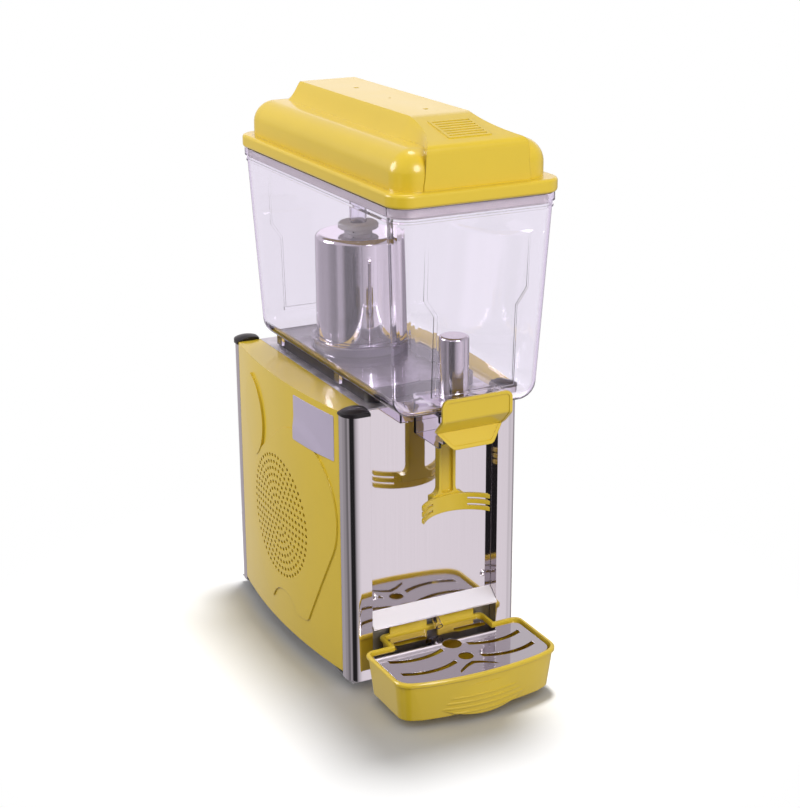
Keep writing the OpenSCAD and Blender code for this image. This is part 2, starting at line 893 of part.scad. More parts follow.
module compressor() {
    color([0.12, 0.12, 0.13]) at_compressor() {
        translate([0, 0, compressor_foot]) rotate_extrude() polygon([
            [0, 2], [compressor_radius - 8, 2], [compressor_radius - 2, 8], [compressor_radius - 2, 58],
            [compressor_radius, 60], [compressor_radius, 66], [compressor_radius - 2, 68],
            [compressor_radius - 2, compressor_height - 22], [compressor_radius - 10, compressor_height - 7],
            [compressor_radius - 24, compressor_height], [0, compressor_height]
        ]);
        translate([0, 0, compressor_foot]) linear_extrude(2.5) difference() {
            round_plate(mount_x + 9, -mount_y - 9, mount_y + 9, 9);
            for (x = [-mount_x, mount_x], y = [-mount_y, mount_y]) translate([x, y]) circle(5.2);
        }
    }
}

module compressor_mounts() {
    color([0.2, 0.2, 0.2]) at_compressor() for (x = [-mount_x, mount_x], y = [-mount_y, mount_y])
        translate([x, y, pan_top]) rotate_extrude() polygon([
            [0, 0], [9, 0], [9, compressor_foot - pan_top - seat_gap],
            [5, compressor_foot - pan_top - seat_gap],
            [5, compressor_foot - pan_top + 3], [0, compressor_foot - pan_top + 3]
        ]);
}

module terminal_cover() {
    color([0.15, 0.15, 0.16]) at_compressor() difference() {
        translate([-16, -compressor_radius - 14, compressor_foot + 20]) cube([32, 24, 34]);
        translate([0, 0, compressor_foot])
            cylinder(h = compressor_height, r = compressor_radius - 2 + seat_gap);
        translate([-13.5, -compressor_radius - 11.5, compressor_foot + 22.5]) cube([27, 30, 29]);
    }
}

module condenser() {
    back = shroud_x - part_gap;
    fin_step = 2 * (condenser_half - 4) / (condenser_fins - 1);
    color("peru") stand() {
        for (i = [0:condenser_fins - 1])
            translate([back - condenser_depth, -condenser_half + 3.5 + i * fin_step, fan_z - condenser_half])
                cube([condenser_depth, 1, 2 * condenser_half]);
        for (row = [0:5]) translate([back - condenser_depth / 2, 0, fan_z - condenser_half + 12 + row * 24])
            bar_y(-condenser_half, 2 * condenser_half, 4);
    }
}

module fan_shroud() {
    color("silver") stand() difference() {
        union() {
            translate([shroud_x, -shroud_half, pan_top]) cube([1.5, 2 * shroud_half, shroud_top - pan_top]);
            translate([shroud_x, -shroud_half, pan_top]) cube([20, 2 * shroud_half, 1.5]);
        }
        translate([0, 0, fan_z]) bar_x(shroud_x - over, 1.5 + 2 * over, fan_radius + 3);
    }
}

module fan_bracket() {
    strap_x = fan_motor_x - 2.2;
    reach = strap_x - shroud_x - 1.5;
    color("silver") stand() difference() {
        union() {
            translate([strap_x, -strap_half, fan_z - strap_reach]) cube([2, 2 * strap_half, 2 * strap_reach]);
            for (z = [fan_z - strap_reach, fan_z + strap_reach - 2])
                translate([strap_x - reach, -strap_half, z]) cube([reach + 2, 2 * strap_half, 2]);
        }
        translate([0, 0, fan_z]) bar_x(strap_x - over, 2 + 2 * over, fan_shaft + 2);
    }
}

module fan_motor() {
    color([0.3, 0.3, 0.33]) stand() translate([fan_motor_x, 0, fan_z]) difference() {
        union() {
            bar_x(0, fan_motor_length, fan_motor_radius);
            bar_x(fan_motor_length - over, 5, 9);
        }
        bar_x(-over, 24 + over, fan_shaft + run_gap);
    }
}

module fan() {
    color([0.15, 0.2, 0.25]) stand() translate([fan_x, 0, fan_z]) {
        difference() {
            bar_x(0, fan_width, fan_hub);
            bar_x(3, fan_width, fan_hub - 3);
        }
        bar_x(0, fan_width + 6 + 22, fan_shaft);
        for (i = [0:fan_blades - 1]) intersection() {
            rotate([i * 360 / fan_blades, 0, 0]) translate([fan_width / 2, 0, fan_hub - 1.5])
                rotate([0, 0, 32]) translate([-0.9, -20, 0]) cube([1.8, 40, fan_radius]);
            difference() {
                bar_x(0, fan_width, fan_radius);
                bar_x(-over, fan_width + 2 * over, fan_hub - 1.5);
            }
        }
    }
}

module filter_drier() {
    color("peru") stand() translate([drier_x, drier_y, drier_under]) rotate_extrude() polygon([
        [0, 0], [pipe_radius + 1, 0], [drier_radius, 10], [drier_radius, drier_length - 10],
        [pipe_radius + 1, drier_length], [0, drier_length]
    ]);
}

module refrigerant_pipes() {
    condenser_x = shroud_x - part_gap - condenser_depth / 2;
    end_y = condenser_half + pipe_gap;
    back_y = panel_half - 13;
    high_z = fan_z - condenser_half + 12 + 5 * 24;
    low_z = fan_z - condenser_half + 12;
    top_z = compressor_top + pipe_gap;
    joint = 16;
    color("peru") stand() {
        pipe([
            [compressor_x + joint, compressor_y, top_z], [compressor_x + joint, compressor_y, high_z],
            [compressor_x + joint, back_y, high_z], [condenser_x, back_y, high_z],
            [condenser_x, end_y, high_z]
        ], pipe_radius);
        pipe([
            [condenser_x, end_y, low_z], [condenser_x, drier_y, low_z],
            [condenser_x, drier_y, drier_under - 12],
            [drier_x, drier_y, drier_under - 12], [drier_x, drier_y, drier_under - pipe_gap]
        ], pipe_radius);
        pipe([
            [drier_x, drier_y, drier_under + drier_length + pipe_gap], [drier_x, drier_y, high_z + 26],
            [-32, cold_y + 24, high_z + 26], [-32, cold_y + 24, deck_top + 6]
        ], pipe_radius);
        pipe([
            [32, cold_y + 24, deck_top + 6], [32, cold_y + 24, high_z + 26],
            [compressor_x - joint, compressor_y, high_z + 26], [compressor_x - joint, compressor_y, top_z]
        ], pipe_radius);
    }
}

// Controls on the rear

module thermostat() {
    color([0.75, 0.75, 0.75]) stand() translate([knob_x, rear_inner - seat_gap, control_z]) difference() {
        union() {
            translate([-19, -24, -15]) cube([38, 24, 30]);
            bar_y(-2, sheet + seat_gap + 8, 4);
        }
        bar_y(-10, 40, 2.5);
    }
}

module thermostat_knob() {
    color([0.1, 0.1, 0.12]) stand() translate([knob_x, rear_y + part_gap, control_z]) {
        difference() {
            union() {
                bar_y(0, 3, knob_radius + 2);
                bar_y(2, knob_depth - 2, knob_radius);
            }
            for (a = [0:30:330]) rotate([0, a, 0])
                translate([knob_radius + 1.2, 0, 0]) bar_y(3.5, knob_depth, 2.6);
            translate([0, 0, knob_radius - 2]) bar_y(knob_depth - 1, 2, 1.5);
            bar_y(-over, 9.5, 4 + run_gap);
        }
        bar_y(-10, 10.5 + 8.5, 2.5 - run_gap);
    }
}

module switch_bezels() {
    color([0.1, 0.1, 0.12]) stand() for (x = switch_x) translate([x, 0, control_z]) difference() {
        union() {
            along(rear_y, 2) round_plate(switch_half_x + 2, -switch_half_z - 2, switch_half_z + 2, 1.5);
            translate([-switch_half_x + seat_gap, rear_inner - 18, -switch_half_z + seat_gap])
                cube([2 * (switch_half_x - seat_gap), 18 + sheet + over, 2 * (switch_half_z - seat_gap)]);
        }
        translate([-switch_half_x + 1.5, rear_inner - 9, -switch_half_z + 1.5])
            cube([2 * (switch_half_x - 1.5), 30, 2 * (switch_half_z - 1.5)]);
        translate([0, rocker_pin_y, 0]) bar_x(-10, 20, rocker_pin + run_gap);
    }
}

// Rocker that tips about a pin along x
module rocker(x) {
    half_x = switch_half_x - 1.5 - part_gap;
    half_z = switch_half_z - 1.5 - 0.8;
    face = rear_y - rocker_pin_y;
    color([0.75, 0.1, 0.1]) stand() translate([x, rocker_pin_y, control_z]) rotate([-rocker_tilt, 0, 0]) {
        across(2 * half_x) polygon([
            [face + 4, half_z], [face + 2, 0], [face + 4, -half_z], [face, -half_z],
            [-3, -3], [-3, 3], [face, half_z]
        ]);
        bar_x(-switch_half_x + 0.2, 2 * (switch_half_x - 0.2), rocker_pin);
    }
}

module cooling_switch() { rocker(switch_x[0]); }
module mixing_switch() { rocker(switch_x[1]); }

module cord_gland() {
    color([0.1, 0.1, 0.12]) stand() translate([gland_x, 0, gland_z]) difference() {
        union() {
            bar_y(rear_inner - 8, 8 + sheet + 6, gland_radius);
            bar_y(rear_y, 5, gland_radius + 4);
            bar_y(rear_inner - 5 - seat_gap, 5, gland_radius + 3);
            translate([0, rear_y + 5, 0]) rotate([-90, 0, 0]) cylinder(h = 12, r1 = gland_radius, r2 = 5.5);
        }
        bar_y(rear_inner - 20, 60, 4);
    }
}

// Bowl and tap

// One level slice of the bowl: height over the underside, and inset from its outer face
module bowl_slice(rise, inset) {
    grow = bowl_draft * rise - inset;
    translate([0, 0, bowl_under + rise]) linear_extrude(slice) round_plate(
        bowl_half + grow, -(bowl_front + grow), bowl_back + grow, max(bowl_corner - inset, 3), $fn = 64
    );
}

// Tapered form with a rounded lower edge: inset from the bowl's face, floor, top
module bowl_form(inset, floor_rise, top_rise) {
    bend = bowl_round - inset;
    hull() {
        for (a = [0:15:90]) bowl_slice(floor_rise + bend * (1 - cos(a)), inset + bend * (1 - sin(a)));
        bowl_slice(top_rise, inset);
    }
}

// Outline of the stepped field, grown by the wall
module step_outline(grow) {
    high = step_half_high + grow;
    low = step_half_low + grow;
    polygon([
        [-high, step_top + grow], [-high, step_jog_high - grow / 2], [-low, step_jog_low - grow / 2],
        [-low, step_bottom - grow], [low, step_bottom - grow], [low, step_jog_low - grow / 2],
        [high, step_jog_high - grow / 2], [high, step_top + grow]
    ]);
}

// Block that presses the stepped field into a sloped wall and runs out towards its top
module step_block(distance, grow) {
    translate([0, -distance, bowl_under]) rotate([bowl_draft_angle + atan(step_depth / (step_top - 6)), 0, 0])
        along(-10, 10 + step_depth + grow) step_outline(grow);
}

module step_blocks(grow) {
    step_block(bowl_front, grow);
    mirror([0, 1, 0]) step_block(bowl_back, grow);
}

module bowl() {
    tab_x = bowl_half - 11;
    color([0.9, 0.95, 1, 0.35]) stand() difference() {
        union() {
            difference() {
                union() {
                    bowl_form(0, 0, bowl_height - slice);
                    translate([0, 0, bowl_top - flange_height]) linear_extrude(flange_height) round_plate(
                        rim_half + flange_out, -(rim_front + flange_out), rim_back + flange_out,
                        bowl_corner + flange_out
                    );
                    translate([0, 0, bowl_top - bead_drop]) linear_extrude(bead_thick) round_plate(
                        rim_half + bead_out, -(rim_front + bead_out), rim_back + bead_out,
                        bowl_corner + bead_out
                    );
                }
                step_blocks(0);
                difference() {
                    bowl_form(bowl_wall, bowl_floor - bowl_under, bowl_height + over);
                    step_blocks(bowl_wall);
                }
            }
            translate([0, cold_y, bowl_under])
                cylinder(h = bowl_floor - bowl_under + collar_height, r = collar_radius);
            for (x = [-tab_x, tab_x - 4], y = [-70, 90])
                translate([x, y, bowl_under - 9]) cube([4, 12, 12]);
        }
        translate([0, cold_y, bowl_under - over]) cylinder(h = 60, r = collar_bore);
        translate([0, plunger_y, bowl_under - over]) cylinder(h = 12, r = nozzle_radius + seat_gap);
    }
}

module outlet_spout() {
    roof_top = bowl_under - seat_gap;
    inner_half = spout_half - spout_wall;
    color([0.9, 0.95, 1, 0.35]) stand() difference() {
        union() {
            translate([-spout_half, -spout_front, spout_under])
                cube([2 * spout_half, spout_front - spout_back, roof_top - spout_under]);
            both_sides() translate([inner_half, -spout_front - ear_reach - 4, pivot_z - ear_rise])
                cube([spout_wall, ear_reach + 4 + over, 2 * ear_rise]);
            translate([0, plunger_y, spout_roof]) cylinder(h = seat_ring_top - spout_roof, r = nozzle_radius);
        }
        translate([-inner_half, -spout_front + spout_wall, spout_under - over])
            cube([2 * inner_half, spout_front - spout_back - 2 * spout_wall, spout_roof - spout_under + over]);
        translate([-inner_half, -spout_front - over, spout_under - over])
            cube([2 * inner_half, spout_wall + 2 * over, pivot_z + ear_rise - spout_under + over]);
        translate([0, plunger_y, spout_roof - over]) difference() {
            cylinder(h = 60, r = outlet_radius);
            cylinder(h = 7, r = pin_radius + 2.2);
            for (a = [90, 210, 330]) rotate(a) translate([0, -1.2, 0]) cube([outlet_radius + over, 2.4, 7]);
        }
        translate([0, plunger_y, spout_roof - over]) cylinder(h = 60, r = pin_radius + seat_gap);
        translate([0, pivot_y, pivot_z])
            bar_x(-spout_half - over, 2 * spout_half + 2 * over, pivot_radius + run_gap);
    }
}

module pivot_pin() {
    color("silver") stand() translate([0, pivot_y, pivot_z]) {
        bar_x(-spout_half - 1, 2 * spout_half + 2, pivot_radius);
        bar_x(spout_half + seat_gap, 2, pivot_radius + 1.5);
        bar_x(-spout_half - seat_gap - 2, 2, pivot_radius + 1.5);
    }
}

// Front edge of the grip plate, moved back by shift: upright panel, ridge, groove, lip
function grip_edge(shift) =
    let (
        lean = atan2(grip_groove_back, grip_bend - grip_groove),
        ridge_z = grip_bend + grip_ridge * tan(lean / 2)
    )
    concat(
        [[grip_y + shift, grip_top]],
        arc(grip_y + shift + grip_ridge, ridge_z, grip_ridge, 180, 180 + lean),
        [[grip_y + shift + grip_groove_back, grip_groove], [grip_y + shift + grip_foot_back, grip_foot]]
    );

module grip_profile() {
    polygon(concat(grip_edge(0), [
        [grip_y + grip_foot_back + grip_thick + 1.5, grip_foot],
        [grip_y + grip_groove_back + grip_thick + 1, grip_groove],
        [grip_y + grip_thick, grip_bend + 1], [grip_y + grip_thick, grip_top]
    ]));
}

// Front view of the grip plate, set in from its border
module grip_outline(inset) {
    half = grip_half - inset;
    foot = grip_foot_half - inset / 2;
    top = grip_top - inset;
    low = grip_foot + inset;
    knee = grip_groove + 3;
    bend = grip_corner - inset;
    lean = atan2(knee - low, half - foot);
    foot_x = foot - bend * tan(lean / 2);
    knee_z = knee + bend * tan(45 - lean / 2);
    polygon(concat(
        arc(-foot_x, low + bend, bend, 270 - lean, 270), arc(foot_x, low + bend, bend, 270, 270 + lean),
        arc(half - bend, knee_z, bend, 270 + lean, 360), arc(half - bend, top - bend, bend, 0, 90),
        arc(-half + bend, top - bend, bend, 90, 180), arc(-half + bend, knee_z, bend, 180, 270 - lean)
    ));
}

// Shallow field that leaves a raised border round the grip plate
module grip_field() {
    intersection() {
        across(2 * grip_half) polygon(concat(grip_edge(-over), backwards(grip_edge(grip_recess))));
        along(grip_y - 2 * over, 60) grip_outline(grip_border);
    }
}

// Side view of the arm that joins grip, pivot and stem
module arm_profile() {
    stem_y = -stem_front;
    polygon([
        [grip_y + grip_groove_back + 1, grip_groove + 3], [pivot_y, pivot_z + 4],
        [plunger_y - 9, pivot_z - 11], [plunger_y + 9, pivot_z - 14],
        [stem_y + stem_thick, pivot_z - 20], [stem_y + stem_thick, stem_top - 6],
        [stem_y, stem_top - 6], [pivot_y + 3, pivot_z - 12], [grip_y + grip_groove_back + 1, grip_groove - 4]
    ]);
}

module paddle() {
    translate([0, 0, paddle_under]) difference() {
        linear_extrude(paddle_height) intersection() {
            translate([0, paddle_centre]) difference() {
                circle(paddle_radius + paddle_thick);
                circle(paddle_radius);
            }
            translate([-paddle_half, paddle_centre]) square([2 * paddle_half, 2 * paddle_radius]);
        }
        both_sides() for (row = [1, 2])
            translate([tine_root, paddle_centre, row * (paddle_height + tine_slot) / 3 - tine_slot])
                cube([paddle_half, 2 * paddle_radius, tine_slot]);
    }
}

// Stem: rib round its web, fillets at its foot, block that carries the paddle
module stem() {
    half = stem_width / 2;
    reach = half + stem_fillet;
    root = 8;
    stem_y = -stem_front;
    block_front = -(paddle_front + 6);
    along(stem_y, stem_thick) difference() {
        round_plate(half, stem_bottom, stem_top, stem_corner);
        round_plate(half - stem_rib, stem_bottom + 4, stem_top - stem_rib, stem_corner - stem_rib);
    }
    along(stem_y + stem_thick - stem_web, stem_web) round_plate(half, stem_bottom, stem_top, stem_corner);
    both_sides() along(stem_y, stem_thick) polygon(concat(
        [[half - stem_rib, paddle_top - 1], [reach, paddle_top - 1]],
        arc(reach, paddle_top + stem_fillet, stem_fillet, 270, 180),
        [[half - stem_rib, paddle_top + stem_fillet]]
    ));
    difference() {
        translate([-reach, block_front, paddle_top - root])
            cube([2 * reach, stem_y + stem_thick - block_front, root]);
        translate([0, paddle_centre, paddle_top - root - over])
            cylinder(h = root + 2 * over, r = paddle_radius);
    }
}

module tap_lever() {
    color([0.95, 0.8, 0.15]) stand() difference() {
        union() {
            intersection() {
                across(2 * grip_half) grip_profile();
                along(grip_y - over, 60) grip_outline(0);
            }
            across(16) arm_profile();
            translate([0, pivot_y, pivot_z])
                bar_x(
                    -spout_half + spout_wall + part_gap, 2 * (spout_half - spout_wall - part_gap), hub_radius
                );
            stem();
            paddle();
            translate([-4, plunger_y - 3, lift_pad_top - 6]) cube([8, 6, 6]);
        }
        grip_field();
        translate([0, pivot_y, pivot_z])
            bar_x(-spout_half, 2 * spout_half, pivot_radius + run_gap);
    }
}

module valve_plunger() {
    dome = 3;
    hollow = plunger_height - 2 * plunger_wall;
    color("gainsboro") stand() translate([0, plunger_y, 0]) {
        difference() {
            translate([0, 0, plunger_under]) rotate_extrude() {
                square([plunger_radius, plunger_height - dome]);
                square([plunger_radius - dome, plunger_height]);
                translate([plunger_radius - dome, plunger_height - dome]) circle(dome);
            }
            translate([0, 0, plunger_under + plunger_wall])
                cylinder(h = hollow, r = plunger_radius - plunger_wall);
            translate([0, 0, plunger_under + 5]) bar_y(0, plunger_radius + over, plunger_vent);
        }
        translate([0, 0, pin_tip]) cylinder(h = plunger_under + plunger_wall - pin_tip, r = pin_radius);
    }
}

module plunger_seal() {
    color([0.8, 0.8, 0.8]) stand() translate([0, plunger_y, seal_under]) difference() {
        cylinder(h = seal_thick, r = nozzle_radius - 0.4);
        translate([0, 0, -over]) cylinder(h = seal_thick + 2 * over, r = pin_radius + run_gap);
    }
}

// Lid

// Four corner places of a rounded form: half width, front, back, corner radius
module corners(half, front, back, corner) {
    for (x = [-half + corner, half - corner], y = [-front + corner, back - corner])
        translate([x, y, 0]) children();
}

module lid_rim() {
    hull() corners(lid_half, lid_front, lid_back, lid_corner) translate([0, 0, lid_under])
        rotate_extrude($fn = 64) {
            square([lid_corner - rim_edge, rim_height]);
            translate([0, rim_edge]) square([lid_corner, rim_height - 2 * rim_edge]);
            for (z = [rim_edge, rim_height - rim_edge])
                translate([lid_corner - rim_edge, z]) circle(rim_edge, $fn = 20);
        }
}

// Rounded body of the lid, shrunk by the wall for its hollow
module lid_shell(wall) {
    half = lid_half - lid_inset;
    hull() corners(half, lid_front - lid_inset, lid_back - lid_inset, lid_round) {
        translate([0, 0, lid_top - lid_round]) sphere(lid_round - wall, $fn = 40);
        translate([0, 0, lid_rim_top - lid_wall - over]) cylinder(h = over, r = lid_round - wall, $fn = 40);
    }
}

// Forward places of the hood's rows, from nose to tail, set in by the wall
function hood_rows(wall) = let (nose = nose_front - wall, slope = nose - hood_round - flat_front) concat(
    [for (share = [0, 0.1, 0.3, 0.6, 1]) nose - share * hood_round],
    [for (i = [1:8]) nose - hood_round - slope * i / 8],
    [for (i = [1:4]) flat_front - (flat_front + flat_back) * i / 4],
    [for (i = [1:4]) -flat_back - (tail_back - wall - flat_back) * i / 4]
);

// Share of the flare, from the straight ridge at 0 to the nose at 1
function flare(forward) = pow(max(forward - flat_front, 0) / (nose_front - flat_front), 2.2);

// Height of the middle line: front slope, flat top, short rear slope
function ridge(forward) =
    forward > flat_front
        ? hood_top - nose_drop * (forward - flat_front) / (nose_front - flat_front)
    : forward < -flat_back
        ? hood_top - tail_drop * (-forward - flat_back) / (tail_back - flat_back)
    : hood_top;

// Drop of the rounded edge over the nose at a distance behind it
function nose_edge(behind) =
    behind < hood_round ? hood_round - sqrt(pow(hood_round, 2) - pow(hood_round - behind, 2)) : 0;

// Height share across a flank: rounded above, hollow below
function flank(t) = (1 + cos(180 * pow(t, 0.7))) / 2;

// One row of points across the hood, from left foot to right foot
function hood_row(forward, wall) = let (
    share = flare(forward + wall),
    half = hood_half + (nose_half - nose_draft - hood_half) * share - wall / 2,
    out = hood_spread * (1 - share) + nose_draft * share - wall / 2,
    low = lid_top - hood_sink - nose_depth * share - wall,
    high = ridge(forward) - wall - nose_edge(nose_front - wall - forward)
) concat(
    [for (i = [flank_last:-1:0])
        [-half - out * flank_steps[i], -forward, low + (high - low) * flank(flank_steps[i])]],
    [[0, -forward, high]],
    [for (t = flank_steps) [half + out * t, -forward, low + (high - low) * flank(t)]]
);

// Raised hood, shrunk by the wall: rows of points, each over three points of the underside
module hood(wall) {
    rows = hood_rows(wall);
    last = len(rows) - 1;
    wide = 2 * len(flank_steps) + 1;
    under = lid_rim_top - 1 - wall;
    tops = [for (forward = rows) each hood_row(forward, wall)];
    feet = [for (i = [0:last]) each [
        [tops[i * wide].x, -rows[i], under], [0, -rows[i], under],
        [tops[i * wide + wide - 1].x, -rows[i], under]
    ]];
    foot = len(tops);
    faces = concat(
        [for (i = [0:last - 1], j = [0:wide - 2]) each let (a = i * wide + j, b = a + wide) [
            [a, b, b + 1], [a, b + 1, a + 1]
        ]],
        [for (i = [0:last - 1]) each let (
            a = foot + 3 * i, b = a + 3, left = i * wide, right = left + wide - 1
        ) [
            [a, a + 1, b + 1, b], [a + 1, a + 2, b + 2, b + 1],
            [left, a, b, left + wide], [right, right + wide, b + 2, a + 2]
        ]],
        [for (j = [0:wide - 2]) each let (a = last * wide + j) [
            [j, j + 1, foot + 1], [a + 1, a, foot + 3 * last + 1]
        ]],
        [
            [0, foot + 1, foot], [wide - 1, foot + 2, foot + 1],
            [last * wide, foot + 3 * last, foot + 3 * last + 1],
            [last * wide + wide - 1, foot + 3 * last + 1, foot + 3 * last + 2]
        ]
    );
    polyhedron(concat(tops, feet), faces);
}

// Frame of the louvre on the hood's front slope: z leaves the slope, y runs up it
module louvre_frame() {
    run = nose_front - flat_front;
    share = 0.52;
    translate([0, -flat_front - run * share, hood_top - nose_drop * share])
        rotate([atan(nose_drop / run), 0, 0]) children();
}

module lid() {
    skirt_half = rim_half - bowl_wall - skirt_gap;
    skirt_front = rim_front - bowl_wall - skirt_gap;
    skirt_back = rim_back - bowl_wall - skirt_gap;
    skirt_corner = bowl_corner - bowl_wall - skirt_gap;
    louvre_length = louvre_slots * louvre_pitch;
    color([0.95, 0.83, 0.2]) stand() difference() {
        union() {
            difference() {
                union() {
                    lid_rim();
                    lid_shell(0);
                    hood(0);
                    louvre_frame() translate([-louvre_half - 3, -louvre_length / 2 - 2, -4])
                        cube([2 * louvre_half + 6, louvre_length + 4, 5]);
                }
                translate([0, 0, lid_under - over]) linear_extrude(rim_height - lid_wall + over) round_plate(
                    lid_half - 4, -(lid_front - 4), lid_back - 4, lid_corner - 4
                );
                lid_shell(lid_wall);
                hood(lid_wall);
            }
            translate([0, 0, lid_under - skirt_depth])
                linear_extrude(rim_height + skirt_depth - 2) difference() {
                round_plate(skirt_half, -skirt_front, skirt_back, skirt_corner);
                round_plate(
                    skirt_half - skirt_wall, -(skirt_front - skirt_wall), skirt_back - skirt_wall,
                    skirt_corner - skirt_wall
                );
            }
        }
        translate([0, lid_hole_back, hood_top - 10]) cylinder(h = 20, r = 3);
        translate([0, lid_hole_back - lid_hole_pitch, hood_top - 10]) cylinder(h = 20, r = 1.6);
        translate([0, lid_hole_back - 2 * lid_hole_pitch, hood_top - 10]) cylinder(h = 20, r = 3);
        louvre_frame() for (i = [0:louvre_slots - 1])
            translate([-louvre_half, (i - (louvre_slots - 1) / 2) * louvre_pitch - 1.3, -9])
                cube([2 * louvre_half, 2.6, 20]);
    }
}

// Drip tray and grid

// Corners and front arc of the tray's wide part, set in; a hull closes them
module tray_plan(inset) {
    arc_radius = (front_arc_half * front_arc_half + front_arc_rise * front_arc_rise) / (2 * front_arc_rise);
    corner_x = tray_half - tray_corner - inset / 2;
    corner_y = tray_reach - front_arc_rise - tray_corner - 3 - inset / 2;
    rear_x = tray_half - tray_rear_corner - inset / 2;
    rear_y = tray_shoulder + tray_rear_corner + inset / 2;
    for (side = [-1, 1]) {
        translate([side * corner_x, -corner_y]) circle(tray_corner - inset / 2, $fn = 48);
        translate([side * rear_x, -rear_y]) circle(tray_rear_corner - inset / 2, $fn = 32);
    }
    polygon([for (t = [-1:0.2:1]) [
        t * front_arc_half,
        -tray_reach + inset + arc_radius - sqrt(pow(arc_radius, 2) - pow(t * front_arc_half, 2))
    ]]);
}

module tray_slice(z, inset) {
    translate([0, 0, z]) linear_extrude(slice) tray_plan(inset);
}

module neck_slice(z, inset) {
    translate([0, 0, z]) linear_extrude(slice)
        round_plate(neck_half - inset, -(tray_shoulder + 16), -(neck_back + inset), 6, $fn = 32);
}

module drip_tray() {
    deep = tray_bead + tray_draft;
    color([0.93, 0.82, 0.2]) stand() difference() {
        union() {
            hull() {
                tray_slice(tray_floor, deep);
                tray_slice(bead_under, tray_bead);
            }
            hull() {
                tray_slice(bead_under, tray_bead);
                tray_slice(bead_under + 1.5, 0);
                tray_slice(tray_rim - 1.5, 0);
                tray_slice(tray_rim - slice, 1.2);
            }
            hull() {
                neck_slice(neck_under, tray_bead + 3);
                neck_slice(bead_under, tray_bead);
            }
            hull() {
                neck_slice(bead_under, tray_bead);
                neck_slice(bead_under + 1.5, 0);
                neck_slice(tray_rim - 1.5, 0);
                neck_slice(tray_rim - slice, 1.2);
            }
            both_sides() translate([tab_inner, -neck_back - tray_bead - tray_wall, bead_under])
                cube([tab_outer - tab_inner, tray_wall, tab_top - bead_under]);
            finger_lip();
        }
        hull() {
            tray_slice(tray_floor + tray_wall, deep + tray_wall);
            tray_slice(tray_rim + over, tray_bead + tray_wall - 1);
        }
        hull() {
            neck_slice(neck_under + tray_wall, tray_bead + 3 + tray_wall);
            neck_slice(tray_rim + over, tray_bead + tray_wall);
        }
    }
    color([0.93, 0.82, 0.2]) stand() grid_pegs();
}

// Arched bow under the tray's sloped front wall that carries grip ribs
module finger_lip() {
    arch = (lip_half * lip_half + lip_sweep * lip_sweep) / (2 * lip_sweep);
    low = tray_floor - lip_drop;
    intersection() {
        translate([0, -tray_reach + lip_setback, low]) {
            linear_extrude(lip_height) lip_plan(0);
            for (row = [0:lip_ribs - 1]) translate([0, 0, 4 + row * lip_pitch])
                linear_extrude(lip_pitch / 3) lip_plan(0.6);
        }
        along(-tray_reach - 5, 40) translate([0, low + arch]) circle(arch, $fn = 180);
    }
}

// Plan of the finger lip: a shallow bow, moved forward for its ribs
module lip_plan(forward) {
    radius = (lip_half * lip_half + lip_bow * lip_bow) / (2 * lip_bow);
    depth = 16;
    arc = [for (t = [-1:0.1:1])
        [t * lip_half, radius - sqrt(radius * radius - pow(t * lip_half, 2)) - forward]];
    polygon(concat(arc, [[lip_half, depth], [-lip_half, depth]]));
}

// Pegs in the tray that carry the grid
module grid_pegs() {
    for (x = [-60, 60], y = [tray_shoulder + 22, tray_reach - 30])
        translate([x, -y, tray_floor + tray_wall])
            cylinder(h = grid_under - part_gap - tray_floor - tray_wall, r = peg_radius);
}

// Slot that sags towards the front, blunt at both ends: middle x, y of its ends
module wave_slot(x, y) {
    chord = 33;
    bend = 70;
    width = 6.4;
    translate([x, y + sqrt(bend * bend - chord * chord)]) intersection() {
        difference() {
            circle(bend + width / 2);
            circle(bend - width / 2);
        }
        translate([-chord, -2 * bend]) square([2 * chord, 2 * bend]);
    }
}

module rear_slot() {
    translate([22, -179]) square([31, 9]);
    for (x = [22, 53]) translate([x, -174.5]) circle(4.5);
}

// Outline of the grid with its slots; it tips about its straight rear edge
module grid_outline() {
    difference() {
        union() {
            hull() tray_plan(grid_inset);
            round_plate(grid_neck_half, -(tray_shoulder + 20), -grid_hinge, grid_neck_corner);
        }
        both_sides() {
            wave_slot(48.5, -(tray_shoulder + 29));
            wave_slot(48.5, -(tray_shoulder + 60));
            rear_slot();
        }
        translate([0, -(tray_shoulder + 22)]) circle(11);
        translate([0, -(tray_shoulder + 54)]) circle(8.5);
        translate([0, -(tray_shoulder + 73)])
            polygon([
                [-24, -13], [-10, -4], [0, 0], [10, -4], [24, -13],
                [21, -7], [9, 2], [0, 6], [-9, 2], [-21, -7]
            ]);
    }
}

module drip_grid() {
    straight = grid_neck_half - grid_neck_corner;
    color("gainsboro") stand() {
        translate([0, 0, grid_under]) linear_extrude(grid_thick) grid_outline();
        translate([0, -grid_hinge, grid_under + grid_thick / 2])
            bar_x(-straight, 2 * straight, grid_thick / 2);
    }
}

base_pan();
feet();
foot_screws();
column_front_left();
column_front_right();
column_rear_left();
column_rear_right();
column_caps();
side_panel_left();
side_panel_right();
splash_panel();
splash_screws();
lower_front_panel();
drain_tube();
tray_rails();
rear_panel();
rear_screws();
deck();
bowl_seat();
bowl_seal();
cold_cylinder();
evaporator_coil();
shaft_bush();
pump_body();
spray_tube();
pump_impeller();
drive_shaft();
agitator_motor();
motor_bracket();
compressor();
compressor_mounts();
terminal_cover();
condenser();
fan_shroud();
fan_bracket();
fan_motor();
fan();
filter_drier();
refrigerant_pipes();
thermostat();
thermostat_knob();
switch_bezels();
cooling_switch();
mixing_switch();
cord_gland();
bowl();
outlet_spout();
pivot_pin();
tap_lever();
valve_plunger();
plunger_seal();
lid();
drip_tray();
drip_grid();
